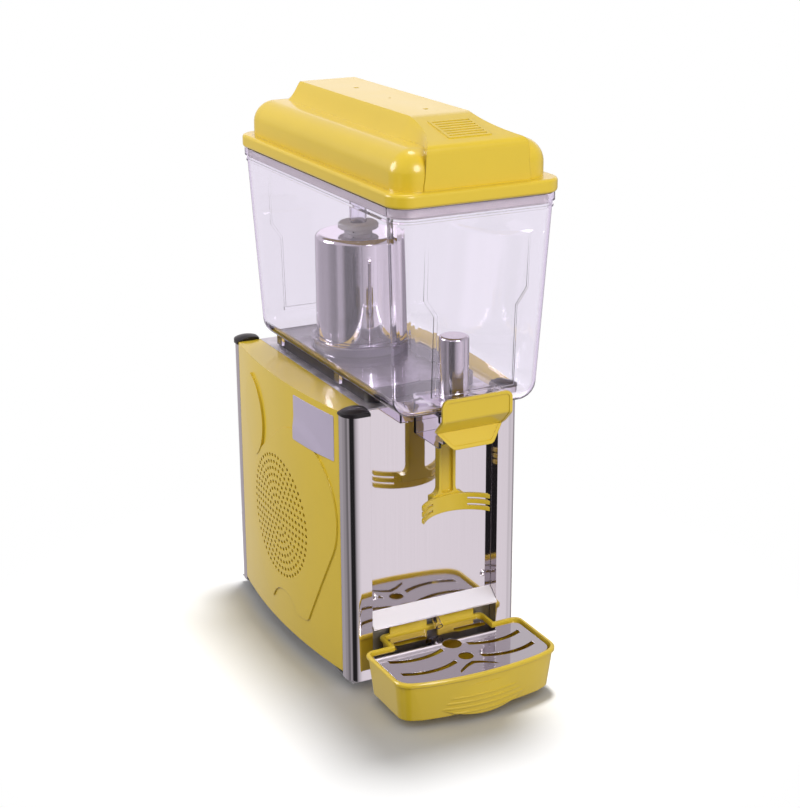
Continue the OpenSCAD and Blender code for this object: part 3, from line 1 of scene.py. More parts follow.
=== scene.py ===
"""Looks of a cold drink dispenser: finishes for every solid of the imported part, a bare label plate and a
white studio. The solids come from the frame; a piece that stands for one is a merged, smooth copy of it."""

import json
import math

import bmesh
import bpy
import numpy as np
from mathutils import Matrix, Vector

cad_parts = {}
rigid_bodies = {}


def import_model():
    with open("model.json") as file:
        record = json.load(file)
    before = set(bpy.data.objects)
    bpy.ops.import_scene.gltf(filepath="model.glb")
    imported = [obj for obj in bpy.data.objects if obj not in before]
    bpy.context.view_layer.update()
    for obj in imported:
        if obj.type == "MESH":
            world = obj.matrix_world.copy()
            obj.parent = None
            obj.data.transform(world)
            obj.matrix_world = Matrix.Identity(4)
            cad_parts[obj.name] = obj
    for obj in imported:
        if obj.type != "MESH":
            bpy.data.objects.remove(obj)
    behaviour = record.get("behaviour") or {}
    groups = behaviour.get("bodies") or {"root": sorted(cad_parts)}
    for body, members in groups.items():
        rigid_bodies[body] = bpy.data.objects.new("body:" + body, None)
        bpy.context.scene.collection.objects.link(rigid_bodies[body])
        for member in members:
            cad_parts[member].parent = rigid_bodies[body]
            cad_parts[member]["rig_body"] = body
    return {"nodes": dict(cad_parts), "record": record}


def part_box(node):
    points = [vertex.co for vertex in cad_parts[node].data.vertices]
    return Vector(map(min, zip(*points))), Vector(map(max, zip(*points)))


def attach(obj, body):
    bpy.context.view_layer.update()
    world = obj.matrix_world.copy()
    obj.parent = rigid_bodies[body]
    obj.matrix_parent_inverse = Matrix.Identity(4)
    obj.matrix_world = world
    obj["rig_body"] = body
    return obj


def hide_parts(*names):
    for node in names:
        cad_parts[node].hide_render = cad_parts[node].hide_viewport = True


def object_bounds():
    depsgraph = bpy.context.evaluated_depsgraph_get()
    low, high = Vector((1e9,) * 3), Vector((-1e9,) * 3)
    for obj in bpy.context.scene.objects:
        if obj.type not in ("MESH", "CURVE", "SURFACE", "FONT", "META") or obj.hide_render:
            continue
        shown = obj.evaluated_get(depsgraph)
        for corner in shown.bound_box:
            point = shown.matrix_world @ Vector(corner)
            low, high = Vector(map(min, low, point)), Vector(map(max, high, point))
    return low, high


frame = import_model()
CAD_LOW, CAD_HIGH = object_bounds()
SLOT_OF = {part["node"]: part["material_slot"] for part in frame["record"]["subparts"]}

bl_info = {
    "name": "Cold drink dispenser",
    "version": (1, 0, 0),
    "blender": (4, 5, 0),
    "location": "View3D > Sidebar > Dispenser",
    "description": "Dresses the packed dispenser and sets it in a white studio",
    "category": "Object",
}

# Size of the image that the camera is fitted to, in pixels
IMAGE_WIDTH = 800
IMAGE_HEIGHT = 808

# Solids with a finish of their own; every other solid takes the finish of its slot.
OWN_FINISH = {
    "splash_panel": "splash_steel",
    "cold_cylinder": "cylinder_steel",
    "lid": "lid_plastic",
    # The deck's own finish is its galvanised sheet painted lighter, as painted light that lifts the shade
    # under the bowl.
    "deck": "deck_sheet_painted_light",
}
# Copies of solids: points closer than the first are merged, edges shorter than the second are dissolved,
# and edges sharper than the third stay sharp.
MERGE_DISTANCE = 2e-6
SHORTEST_EDGE = 1e-6
SHARP_ANGLE = math.radians(32.0)

# Shared node groups, and the scale of their finest marks
GRAIN_GROUP = "moulding_grain"
POLISH_GROUP = "polish_lines"
PLASTIC_GRAIN = 900.0
ENAMEL_GRAIN = 400.0
# Depth of the grain in plastic and in rubber, of polishing lines and of zinc crystals, in metres
PLASTIC_DEPTH = 0.00002
RUBBER_DEPTH = 0.00005
LINE_DEPTH = 0.000002
CRYSTAL_DEPTH = 0.000006
# Radius that softens metal edges
METAL_EDGE = 0.0004
# Refractive index of the clear moulding
CLEAR_INDEX = 1.45

# Light and shade that gloss sees round the studio, as degrees from the camera's own side and brightness:
# first under eye height, then over it, and the level of what is overhead.
GLOSS_LOW = (
    (-180, 0.40), (-150, 0.62), (-136, 0.52), (-120, 0.38), (-92, 0.36), (-74, 0.20),
    (-62, 0.20), (-54, 0.42), (-44, 0.36), (-34, 0.02), (-2, 0.02), (13, 0.45),
    (30, 0.70), (54, 0.96), (72, 0.72), (110, 0.85), (132, 0.35), (180, 0.40),
)
GLOSS_HIGH = (
    (-180, 1.25), (-160, 1.08), (-140, 0.60), (-80, 0.50), (0, 0.45),
    (80, 0.50), (130, 0.60), (155, 1.08), (180, 1.25),
)
GLOSS_OVERHEAD = 0.62
# Faint lilac tint of all three
GLOSS_TINT = (1.0, 0.945, 0.985)
# Upward share of a direction over which the low band turns into the high one, and the high one into overhead
HIGH_BAND = (-0.02, 0.14)
OVERHEAD_BAND = (0.24, 0.42)
# Light that shows in the edges of clear walls, and the passes through their faces that mark it: the middle
# number and the spread to both sides of it
CLEAR_EDGES = (0.80, 0.71, 0.86)
CLEAR_PASSES = 2.0
CLEAR_PASSES_SPREAD = 1.5

# Floor: its colour to the camera, the share of it that other rays find, and the radii between which it fades
# out; then the inner and outer radius of its mesh and its distance under the feet
FLOOR_COLOUR = (0.96, 0.955, 0.95)
FLOOR_SHARE = 0.4
FLOOR_FADE = (0.24, 0.52)
FLOOR_INNER = 0.0005
FLOOR_OUTER = 1.5
FLOOR_DROP = 0.0002


# Settings


class DispenserColours(bpy.types.PropertyGroup):
    """Colours of the finishes, as linear values."""

    yellow: bpy.props.FloatVectorProperty(
        name="Yellow", description="Moulded panels, lid, tap and tray",
        subtype="COLOR", size=3, min=0, max=1, default=(0.755, 0.532, 0.029),
    )
    # Partly painted light: a pale colour for the lid's lower skirt, made lighter still to lift the shade
    # under the lid.
    lip: bpy.props.FloatVectorProperty(
        name="Lip", description="Lip of the lid that hangs into the bowl",
        subtype="COLOR", size=3, min=0, max=1, default=(0.96, 0.86, 0.89),
    )
    black: bpy.props.FloatVectorProperty(
        name="Black", description="Caps, seat, rails, knob, bezels, gland and terminal cover",
        subtype="COLOR", size=3, min=0, max=1, default=(0.010, 0.007, 0.009),
    )
    white: bpy.props.FloatVectorProperty(
        name="White", description="Pump body, pump impeller and shaft bush",
        subtype="COLOR", size=3, min=0, max=1, default=(0.80, 0.80, 0.79),
    )
    grey: bpy.props.FloatVectorProperty(
        name="Grey", description="Fan and thermostat",
        subtype="COLOR", size=3, min=0, max=1, default=(0.17, 0.175, 0.185),
    )
    red: bpy.props.FloatVectorProperty(
        name="Red", description="Rocker switches",
        subtype="COLOR", size=3, min=0, max=1, default=(0.42, 0.012, 0.010),
    )
    rubber: bpy.props.FloatVectorProperty(
        name="Rubber", description="Feet and compressor mounts",
        subtype="COLOR", size=3, min=0, max=1, default=(0.015, 0.015, 0.015),
    )
    silicone: bpy.props.FloatVectorProperty(
        name="Silicone", description="Seals of bowl and plunger",
        subtype="COLOR", size=3, min=0, max=1, default=(0.78, 0.75, 0.79),
    )
    black_enamel: bpy.props.FloatVectorProperty(
        name="Black enamel", description="Painted compressor",
        subtype="COLOR", size=3, min=0, max=1, default=(0.012, 0.012, 0.013),
    )
    grey_enamel: bpy.props.FloatVectorProperty(
        name="Grey enamel", description="Painted motors",
        subtype="COLOR", size=3, min=0, max=1, default=(0.10, 0.105, 0.115),
    )
    label: bpy.props.FloatVectorProperty(
        name="Label", description="Bare label plate",
        subtype="COLOR", size=3, min=0, max=1, default=(0.53, 0.46, 0.60),
    )
    steel: bpy.props.FloatVectorProperty(
        name="Steel", description="Polished stainless steel",
        subtype="COLOR", size=3, min=0, max=1, default=(0.74, 0.70, 0.735),
    )
    # Painted highlight: the ledge's steel is lighter than the polished steel above it, standing in for the
    # bright light it throws back; its higher roughness is a brushed finish.
    satin_and_painted_highlight: bpy.props.FloatVectorProperty(
        name="Satin", description="Brushed ledge of the splash panel",
        subtype="COLOR", size=3, min=0, max=1, default=(0.95, 0.92, 0.95),
    )
    cylinder: bpy.props.FloatVectorProperty(
        name="Cylinder", description="Polished cold cylinder",
        subtype="COLOR", size=3, min=0, max=1, default=(0.93, 0.89, 0.93),
    )
    copper: bpy.props.FloatVectorProperty(
        name="Copper", description="Coil, condenser, filter drier and pipes",
        subtype="COLOR", size=3, min=0, max=1, default=(0.62, 0.28, 0.15),
    )
    sheet: bpy.props.FloatVectorProperty(
        name="Sheet", description="Galvanised pan, back, lower front panel, brackets and screws",
        subtype="COLOR", size=3, min=0, max=1, default=(0.42, 0.42, 0.43),
    )
    # Painted light: the deck's sheet is far lighter than the pan's, to lift the shade that falls on it under
    # the bowl.
    deck: bpy.props.FloatVectorProperty(
        name="Deck", description="Brighter sheet of the deck",
        subtype="COLOR", size=3, min=0, max=1, default=(0.80, 0.76, 0.82),
    )
    clear: bpy.props.FloatVectorProperty(
        name="Clear", description="Clear moulding of bowl, spout and tubes",
        subtype="COLOR", size=3, min=0, max=1, default=(0.952, 0.926, 0.985),
    )


class DispenserSizes(bpy.types.PropertyGroup):
    """Sizes that the pieces made here use."""

    edge_round: bpy.props.FloatProperty(
        name="Edge round", description="Radius that softens moulded edges",
        unit="LENGTH", min=0, default=0.0011,
    )
    ledge_height: bpy.props.FloatProperty(
        name="Ledge height", description="Height of the bend between splash panel and ledge",
        unit="LENGTH", default=0.0855,
    )
    label_length: bpy.props.FloatProperty(
        name="Label length", description="Length of the bare label plate", unit="LENGTH", default=0.086,
    )
    label_height: bpy.props.FloatProperty(
        name="Label height", description="Height of the bare label plate", unit="LENGTH", default=0.052,
    )
    label_forward: bpy.props.FloatProperty(
        name="Label place", description="Distance of the label's middle in front of the panel's middle",
        unit="LENGTH", default=0.089,
    )
    label_top: bpy.props.FloatProperty(
        name="Label drop", description="Distance of the label's top under the panel's top",
        unit="LENGTH", default=0.008,
    )
    panel_bow: bpy.props.FloatProperty(
        name="Panel bow", description="Outward bow of a side panel at its middle",
        unit="LENGTH", default=0.012,
    )
    fruit_radius: bpy.props.FloatProperty(
        name="Fruit radius", description="Radius of the fruit's upper lobe", unit="LENGTH", default=0.084,
    )
    fruit_forward: bpy.props.FloatProperty(
        name="Fruit place", description="Distance of that lobe's middle in front of the panel's middle",
        unit="LENGTH", default=0.052,
    )
    fruit_height: bpy.props.FloatProperty(
        name="Fruit height", description="Height of that lobe's middle over the floor",
        unit="LENGTH", default=0.190,
    )
    fruit_relief: bpy.props.FloatProperty(
        name="Fruit relief", description="Height of the fruit over the panel's face",
        unit="LENGTH", default=0.0016,
    )


class DispenserStudio(bpy.types.PropertyGroup):
    """Camera and light."""

    camera_place: bpy.props.FloatVectorProperty(
        name="Camera", description="Camera position in the part's frame",
        subtype="TRANSLATION", unit="LENGTH", size=3, default=(-0.81085, -1.61855, 0.91671),
    )
    camera_turn: bpy.props.FloatProperty(
        name="Camera turn", description="Azimuth of the camera",
        unit="ROTATION", default=math.radians(-26.80),
    )
    camera_pitch: bpy.props.FloatProperty(
        name="Camera pitch", description="Elevation of the camera",
        unit="ROTATION", default=math.radians(18.85),
    )
    camera_roll: bpy.props.FloatProperty(
        name="Camera roll", description="Roll of the camera", unit="ROTATION", default=math.radians(-0.36),
    )
    focal_pixels: bpy.props.FloatProperty(
        name="Focal length", description="Focal length in pixels of the image", default=1695.0,
    )
    middle_x: bpy.props.FloatProperty(
        name="Middle x", description="Image column of the optical axis, in pixels", default=397.34,
    )
    middle_y: bpy.props.FloatProperty(
        name="Middle y", description="Image row of the optical axis, in pixels", default=395.72,
    )
    key_power: bpy.props.FloatProperty(
        name="Key light", description="Power of the key light", unit="POWER", default=26.0,
    )
    fill_power: bpy.props.FloatProperty(
        name="Fill light", description="Power of the fill light", unit="POWER", default=19.0,
    )
    top_power: bpy.props.FloatProperty(
        name="Top light", description="Power of the light overhead", unit="POWER", default=23.0,
    )
    floor_power: bpy.props.FloatProperty(
        name="Floor light", description="Power of the light that only the floor takes",
        unit="POWER", default=105.0,
    )
    room_light: bpy.props.FloatProperty(
        name="Room light", description="Strength of the even light of the room", default=0.40,
    )


# Node helpers


def put(tree, kind, **values):
    """Adds one node and sets the named inputs; an underscore in a name stands for a space."""
    node = tree.nodes.new(kind)
    for name, value in values.items():
        node.inputs[name.replace("_", " ")].default_value = value
    return node


def join(tree, source, target):
    """Links an output socket to an input socket."""
    tree.links.new(source, target)


def new_group(name, inputs, outputs):
    """An empty shader group with float inputs, given as name to default, and named outputs."""
    group = bpy.data.node_groups.new(name, "ShaderNodeTree")
    for socket, default in inputs.items():
        made = group.interface.new_socket(socket, in_out="INPUT", socket_type="NodeSocketFloat")
        made.default_value = default
    for socket in outputs:
        group.interface.new_socket(socket, in_out="OUTPUT", socket_type="NodeSocketFloat")
    return group, group.nodes.new("NodeGroupInput"), group.nodes.new("NodeGroupOutput")


def use_group(tree, name):
    """Adds a node that uses a shared group."""
    node = tree.nodes.new("ShaderNodeGroup")
    node.node_tree = bpy.data.node_groups[name]
    return node


def grain_group():
    """Fine grain as a height, and a broad faint mottle that varies colour and gloss."""
    scales = {"Fine": PLASTIC_GRAIN, "Broad": 14.0}
    group, given, made = new_group(GRAIN_GROUP, scales, ["Grain", "Mottle"])
    place = put(group, "ShaderNodeTexCoord")
    fine = put(group, "ShaderNodeTexNoise", Detail=2.0, Roughness=0.5)
    broad = put(group, "ShaderNodeTexNoise", Detail=4.0, Roughness=0.6)
    for noise, scale, out in ((fine, "Fine", "Grain"), (broad, "Broad", "Mottle")):
        join(group, place.outputs["Object"], noise.inputs["Vector"])
        join(group, given.outputs[scale], noise.inputs["Scale"])
        join(group, noise.outputs["Fac"], made.inputs[out])


def polish_group():
    """Fine lines of polishing that run up the metal, and soft wipe marks across it."""
    scales = {"Lines": 700.0, "Wipes": 9.0}
    group, given, made = new_group(POLISH_GROUP, scales, ["Lines", "Wipes"])
    place = put(group, "ShaderNodeTexCoord")
    squeeze = put(group, "ShaderNodeMapping", Scale=(1.0, 1.0, 0.012))
    lines = put(group, "ShaderNodeTexNoise", Detail=3.0, Roughness=0.6)
    wipes = put(group, "ShaderNodeTexNoise", Detail=3.0, Roughness=0.55, Distortion=0.8)
    join(group, place.outputs["Object"], squeeze.inputs["Vector"])
    join(group, squeeze.outputs["Vector"], lines.inputs["Vector"])
    join(group, place.outputs["Object"], wipes.inputs["Vector"])
    for noise, name in ((lines, "Lines"), (wipes, "Wipes")):
        join(group, given.outputs[name], noise.inputs["Scale"])
        join(group, noise.outputs["Fac"], made.inputs[name])


def vary(tree, source, rough, swing):
    """Roughness that goes with a value, from a share under the given one to the same share over it."""
    node = put(tree, "ShaderNodeMapRange", To_Min=rough * (1.0 - swing), To_Max=rough * (1.0 + swing))
    join(tree, source, node.inputs["Value"])
    return node.outputs["Result"]


def smooth_rise(tree, source, start, end):
    """Value that rises smoothly from 0, where the source is at the start, to 1 at the end."""
    node = put(tree, "ShaderNodeMapRange", From_Min=start, From_Max=end)
    node.interpolation_type = "SMOOTHSTEP"
    join(tree, source, node.inputs["Value"])
    return node.outputs["Result"]


def under_height(tree, height, soft):
    """Mask over the surface that is 1 under a height in the part's frame and fades to 0 over a soft zone."""
    place = put(tree, "ShaderNodeTexCoord")
    parts = put(tree, "ShaderNodeSeparateXYZ")
    zone = put(tree, "ShaderNodeMapRange", From_Min=height, From_Max=height + soft, To_Min=1.0, To_Max=0.0)
    join(tree, place.outputs["Object"], parts.inputs["Vector"])
    join(tree, parts.outputs["Z"], zone.inputs["Value"])
    return zone.outputs["Result"]


def colour_mix(tree, source):
    """A mix of two colours that goes with a value; returns its two colour inputs and its output."""
    node = tree.nodes.new("ShaderNodeMix")
    node.data_type = "RGBA"
    start, end = [socket for socket in node.inputs if socket.type == "RGBA"]
    result = [socket for socket in node.outputs if socket.type == "RGBA"][0]
    join(tree, source, node.inputs["Factor"])
    return start, end, result


def two_tone(tree, source, colour, darker):
    """Colour that goes with a value from a darker tone to the colour itself."""
    start, end, result = colour_mix(tree, source)
    start.default_value = (*[part * darker for part in colour], 1.0)
    end.default_value = (*colour, 1.0)
    return result


def blend(tree, mask, first, second):
    """Colour that goes with a mask from a colour socket to a plain colour."""
    start, end, result = colour_mix(tree, mask)
    join(tree, first, start)
    end.default_value = (*second, 1.0)
    return result


# Finishes


def finish(slot):
    """The finish made for a slot; the frame's own materials carry the bare slot names."""
    return bpy.data.materials[slot + "_finish"]


def blank_finish(slot):
    """A finish with a Principled shader on its output; returns its tree and the shader."""
    material = bpy.data.materials.new(slot + "_finish")
    material.use_nodes = True
    tree = material.node_tree
    tree.nodes.clear()
    shader = tree.nodes.new("ShaderNodeBsdfPrincipled")
    out = tree.nodes.new("ShaderNodeOutputMaterial")
    join(tree, shader.outputs["BSDF"], out.inputs["Surface"])
    return tree, shader


def soft_edges(tree, shader, height, depth, radius):
    """Normal with edges rounded to the radius and a bump of the given depth over it."""
    bump = put(tree, "ShaderNodeBump", Strength=1.0, Distance=depth)
    join(tree, height, bump.inputs["Height"])
    if radius > 0:
        edge = put(tree, "ShaderNodeBevel", Radius=radius)
        edge.samples = 6
        join(tree, edge.outputs["Normal"], bump.inputs["Normal"])
    join(tree, bump.outputs["Normal"], shader.inputs["Normal"])


def moulded(slot, colour, rough, radius, depth=PLASTIC_DEPTH, coat=0.0, fine=PLASTIC_GRAIN, lip=None):
    """Moulded plastic, rubber or enamel: mottled colour and gloss, fine grain, soft edges. A lip, given as
    height and colour, is the part under that height, in a pale colour that is partly painted light against
    its shade."""
    tree, shader = blank_finish(slot)
    grain = use_group(tree, GRAIN_GROUP)
    grain.inputs["Fine"].default_value = fine
    tone = two_tone(tree, grain.outputs["Mottle"], colour, darker=0.9)
    if lip:
        height, lip_colour_painted_lighter = lip
        # The part under the height takes the pale colour, made lighter as painted light against the shade
        # there.
        tone = blend(tree, under_height(tree, height, soft=0.0005), tone, lip_colour_painted_lighter)
    roughness = vary(tree, grain.outputs["Mottle"], rough, swing=0.2)
    join(tree, tone, shader.inputs["Base Color"])
    join(tree, roughness, shader.inputs["Roughness"])
    shader.inputs["Specular IOR Level"].default_value = 0.4
    shader.inputs["Coat Weight"].default_value = coat
    shader.inputs["Coat Roughness"].default_value = 0.08
    soft_edges(tree, shader, grain.outputs["Grain"], depth, radius)


def polished(slot, colour, rough, satin_and_painted_highlight=None):
    """Polished metal: fine upright lines, and wipe marks that vary the gloss. A zone, given as height and
    colour, is rougher under that height and has that lighter colour there, a painted highlight."""
    tree, shader = blank_finish(slot)
    marks = use_group(tree, POLISH_GROUP)
    shader.inputs["Metallic"].default_value = 1.0
    tone = two_tone(tree, marks.outputs["Lines"], colour, darker=0.93)
    roughness = vary(tree, marks.outputs["Wipes"], rough, swing=0.5)
    if satin_and_painted_highlight:
        height, satin_highlight_colour = satin_and_painted_highlight
        satin_rough = 0.42
        # Under the ledge's height the steel is brushed, so rougher, and its lighter colour is a painted
        # highlight.
        brushed_highlight_zone = under_height(tree, height, soft=0.001)
        tone = blend(tree, brushed_highlight_zone, tone, satin_highlight_colour)
        more = tree.nodes.new("ShaderNodeMath")
        more.operation = "MULTIPLY_ADD"
        more.inputs[1].default_value = satin_rough
        join(tree, brushed_highlight_zone, more.inputs[0])
        join(tree, roughness, more.inputs[2])
        roughness = more.outputs["Value"]
    join(tree, tone, shader.inputs["Base Color"])
    join(tree, roughness, shader.inputs["Roughness"])
    soft_edges(tree, shader, marks.outputs["Lines"], LINE_DEPTH, METAL_EDGE)


def spangled(slot, colour, rough):
    """Galvanised sheet: crystal cells of slightly different grey."""
    tree, shader = blank_finish(slot)
    place = put(tree, "ShaderNodeTexCoord")
    cells = put(tree, "ShaderNodeTexVoronoi", Scale=90.0)
    join(tree, place.outputs["Object"], cells.inputs["Vector"])
    shade = put(tree, "ShaderNodeSeparateColor")
    join(tree, cells.outputs["Color"], shade.inputs["Color"])
    tone = two_tone(tree, shade.outputs["Red"], colour, darker=0.78)
    roughness = vary(tree, shade.outputs["Green"], rough, swing=0.2)
    shader.inputs["Metallic"].default_value = 1.0
    join(tree, tone, shader.inputs["Base Color"])
    join(tree, roughness, shader.inputs["Roughness"])
    soft_edges(tree, shader, cells.outputs["Distance"], CRYSTAL_DEPTH, METAL_EDGE)


def clear_moulding(slot, colour):
    """Clear moulded plastic: refracting, with faint clouds in its tint."""
    tree, shader = blank_finish(slot)
    grain = use_group(tree, GRAIN_GROUP)
    tone = two_tone(tree, grain.outputs["Mottle"], colour, darker=0.99)
    shader.inputs["Transmission Weight"].default_value = 1.0
    shader.inputs["IOR"].default_value = CLEAR_INDEX
    shader.inputs["Roughness"].default_value = 0.0
    join(tree, tone, shader.inputs["Base Color"])


# Mesh helpers


def grid_faces(rows, columns):
    """Quads of an open grid of points, row by row."""
    index = np.arange(rows * columns).reshape(rows, columns)
    corners = (index[:-1, :-1], index[:-1, 1:], index[1:, 1:], index[1:, :-1])
    return np.stack([corner.ravel() for corner in corners], axis=1)


def mesh_piece(name, points, faces, material, body):
    """A new object from whole arrays of points and faces, riding on a body."""
    mesh = bpy.data.meshes.new(name)
    mesh.from_pydata(points.reshape(-1, 3).tolist(), [], faces.tolist())
    mesh.polygons.foreach_set("use_smooth", np.ones(len(mesh.polygons), bool))
    mesh.materials.append(material)
    piece = bpy.data.objects.new(name, mesh)
    bpy.context.scene.collection.objects.link(piece)
    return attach(piece, body)


def body_of_node(node):
    """Name of the body that a node belongs to."""
    return frame["nodes"][node]["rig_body"]


def smooth_copy(node, material):
    """A merged copy of a solid, smooth except at its sharp edges, that stands for the solid. Large faces pull
    the normals, so that they look flat."""
    source = frame["nodes"][node]
    shape = bmesh.new()
    shape.from_mesh(source.data)
    bmesh.ops.remove_doubles(shape, verts=shape.verts, dist=MERGE_DISTANCE)
    bmesh.ops.dissolve_degenerate(shape, edges=shape.edges, dist=SHORTEST_EDGE)
    for edge in shape.edges:
        edge.smooth = len(edge.link_faces) == 2 and edge.calc_face_angle(0.0) < SHARP_ANGLE
    mesh = bpy.data.meshes.new(node + "_skin")
    shape.to_mesh(mesh)
    shape.free()
    mesh.polygons.foreach_set("use_smooth", np.ones(len(mesh.polygons), bool))
    mesh.materials.clear()
    mesh.materials.append(material)
    mesh.polygons.foreach_set("material_index", np.zeros(len(mesh.polygons), np.int32))
    piece = bpy.data.objects.new(node + "_skin", mesh)
    bpy.context.scene.collection.objects.link(piece)
    flatten = piece.modifiers.new("flat_faces", "WEIGHTED_NORMAL")
    flatten.mode = "FACE_AREA_WITH_ANGLE"
    flatten.keep_sharp = True
    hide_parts(node)
    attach(piece, body_of_node(node))


def dress(nodes):
    """Smooth copies of several solids, each in its own finish or the finish of its slot."""
    for node in nodes:
        smooth_copy(node, finish(OWN_FINISH.get(node, SLOT_OF[node])))


def label_plate(sizes):
    """Thin plate on the bowed panel: a grid in length and height, x on the bow's circle, rounded by pulling
    the last rows in at the corners, and a short edge down to the panel. Over the fruit it rises by the
    relief, in a long smooth bend outside the lobe's edge."""
    stand_off = 0.0003
    thickness_share = 0.9
    corner = 0.002
    drape = 0.018
    columns = 121
    rows = 73
    low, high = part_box("side_panel_left")
    edge_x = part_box("column_front_left")[0].x
    half_length = (high.y - low.y) / 2
    middle_y = (high.y + low.y) / 2
    radius = (half_length**2 + sizes.panel_bow**2) / (2 * sizes.panel_bow)
    axis_x = edge_x - sizes.panel_bow + radius
    across = np.linspace(-0.5, 0.5, columns) * sizes.label_length
    up = np.linspace(-0.5, 0.5, rows) * sizes.label_height
    along, rise = np.meshgrid(across, up)
    inset_y = np.maximum(np.abs(rise) - (sizes.label_height / 2 - corner), 0.0)
    pull = corner - np.sqrt(np.maximum(corner**2 - inset_y**2, 0.0))
    along = np.clip(along, -sizes.label_length / 2 + pull, sizes.label_length / 2 - pull)
    y = along - sizes.label_forward
    z = rise + high.z - sizes.label_top - sizes.label_height / 2
    from_lobe = np.hypot(y + sizes.fruit_forward, z - sizes.fruit_height) - sizes.fruit_radius
    share = np.clip(1.0 - from_lobe / drape, 0.0, 1.0)
    lift = sizes.fruit_relief * share**2 * (3.0 - 2.0 * share)
    face = axis_x - np.sqrt(radius**2 - y**2) - stand_off - lift
    points = np.stack([face, y + middle_y, z], axis=-1)
    faces = grid_faces(*face.shape)[:, ::-1]
    plate = mesh_piece("label_plate", points, faces, finish("label_plate"), "cabinet")
    wall = plate.modifiers.new("thickness", "SOLIDIFY")
    wall.thickness = stand_off * thickness_share
    wall.offset = -1.0


# Studio


def floor_material():
    """Pale matt floor that fades out into the white room. It has its full colour to the camera and through
    clear parts, and other rays find it darker."""
    material = bpy.data.materials.new("studio_floor")
    material.use_nodes = True
    tree = material.node_tree
    tree.nodes.clear()
    place = put(tree, "ShaderNodeTexCoord")
    reach = tree.nodes.new("ShaderNodeVectorMath")
    reach.operation = "LENGTH"
    ways = put(tree, "ShaderNodeLightPath")
    seen = tree.nodes.new("ShaderNodeMath")
    seen.operation = "MAXIMUM"
    matt = put(tree, "ShaderNodeBsdfDiffuse")
    open_air = put(tree, "ShaderNodeBsdfTransparent")
    both = put(tree, "ShaderNodeMixShader")
    out = put(tree, "ShaderNodeOutputMaterial")
    join(tree, ways.outputs["Is Camera Ray"], seen.inputs[0])
    join(tree, ways.outputs["Is Transmission Ray"], seen.inputs[1])
    tone = two_tone(tree, seen.outputs["Value"], FLOOR_COLOUR, FLOOR_SHARE)
    join(tree, tone, matt.inputs["Color"])
    join(tree, place.outputs["Object"], reach.inputs[0])
    join(tree, smooth_rise(tree, reach.outputs["Value"], *FLOOR_FADE), both.inputs["Fac"])
    join(tree, matt.outputs["BSDF"], both.inputs[1])
    join(tree, open_air.outputs["BSDF"], both.inputs[2])
    join(tree, both.outputs["Shader"], out.inputs["Surface"])
    return material


def studio_floor():
    """Round floor just under the part, as rings of points."""
    ring_count = 24
    turn_count = 97
    rings = np.linspace(FLOOR_INNER, FLOOR_OUTER, ring_count)
    turn = np.linspace(0.0, 2 * np.pi, turn_count)
    radius, angle = np.meshgrid(rings, turn, indexing="ij")
    level = np.full_like(radius, -FLOOR_DROP)
    points = np.stack([radius * np.cos(angle), radius * np.sin(angle), level], axis=-1)
    mesh = bpy.data.meshes.new("studio_floor")
    mesh.from_pydata(points.reshape(-1, 3).tolist(), [], grid_faces(*radius.shape).tolist())
    mesh.materials.append(floor_material())
    floor = bpy.data.objects.new("studio_floor", mesh)
    bpy.context.scene.collection.objects.link(floor)
    floor.visible_glossy = False
    return floor


def ring_of_light(tree, around, levels):
    """Colours round the studio from pairs of degrees and brightness."""
    ramp = tree.nodes.new("ShaderNodeValToRGB")
    while len(ramp.color_ramp.elements) < len(levels):
        ramp.color_ramp.elements.new(0.5)
    for element, (degrees, level) in zip(ramp.color_ramp.elements, levels):
        element.position = degrees / 360.0 + 0.5
        element.color = (*[level * part for part in GLOSS_TINT], 1.0)
    join(tree, around, ramp.inputs["Fac"])
    return ramp.outputs["Color"]


def gloss_room(tree, studio):
    """Colour that gloss sees in a direction: two bands round the studio, and what is overhead."""
    place = put(tree, "ShaderNodeTexCoord")
    facing = put(tree, "ShaderNodeMapping", Rotation=(0.0, 0.0, math.radians(90.0) - studio.camera_turn))
    around = tree.nodes.new("ShaderNodeTexGradient")
    around.gradient_type = "RADIAL"
    join(tree, place.outputs["Generated"], facing.inputs["Vector"])
    join(tree, facing.outputs["Vector"], around.inputs["Vector"])
    rise = put(tree, "ShaderNodeSeparateXYZ")
    join(tree, place.outputs["Generated"], rise.inputs["Vector"])
    raised = smooth_rise(tree, rise.outputs["Z"], *HIGH_BAND)
    low_end, high_end, sides = colour_mix(tree, raised)
    join(tree, ring_of_light(tree, around.outputs["Fac"], GLOSS_LOW), low_end)
    join(tree, ring_of_light(tree, around.outputs["Fac"], GLOSS_HIGH), high_end)
    overhead = smooth_rise(tree, rise.outputs["Z"], *OVERHEAD_BAND)
    above = [GLOSS_OVERHEAD * part for part in GLOSS_TINT]
    return blend(tree, overhead, sides, above)


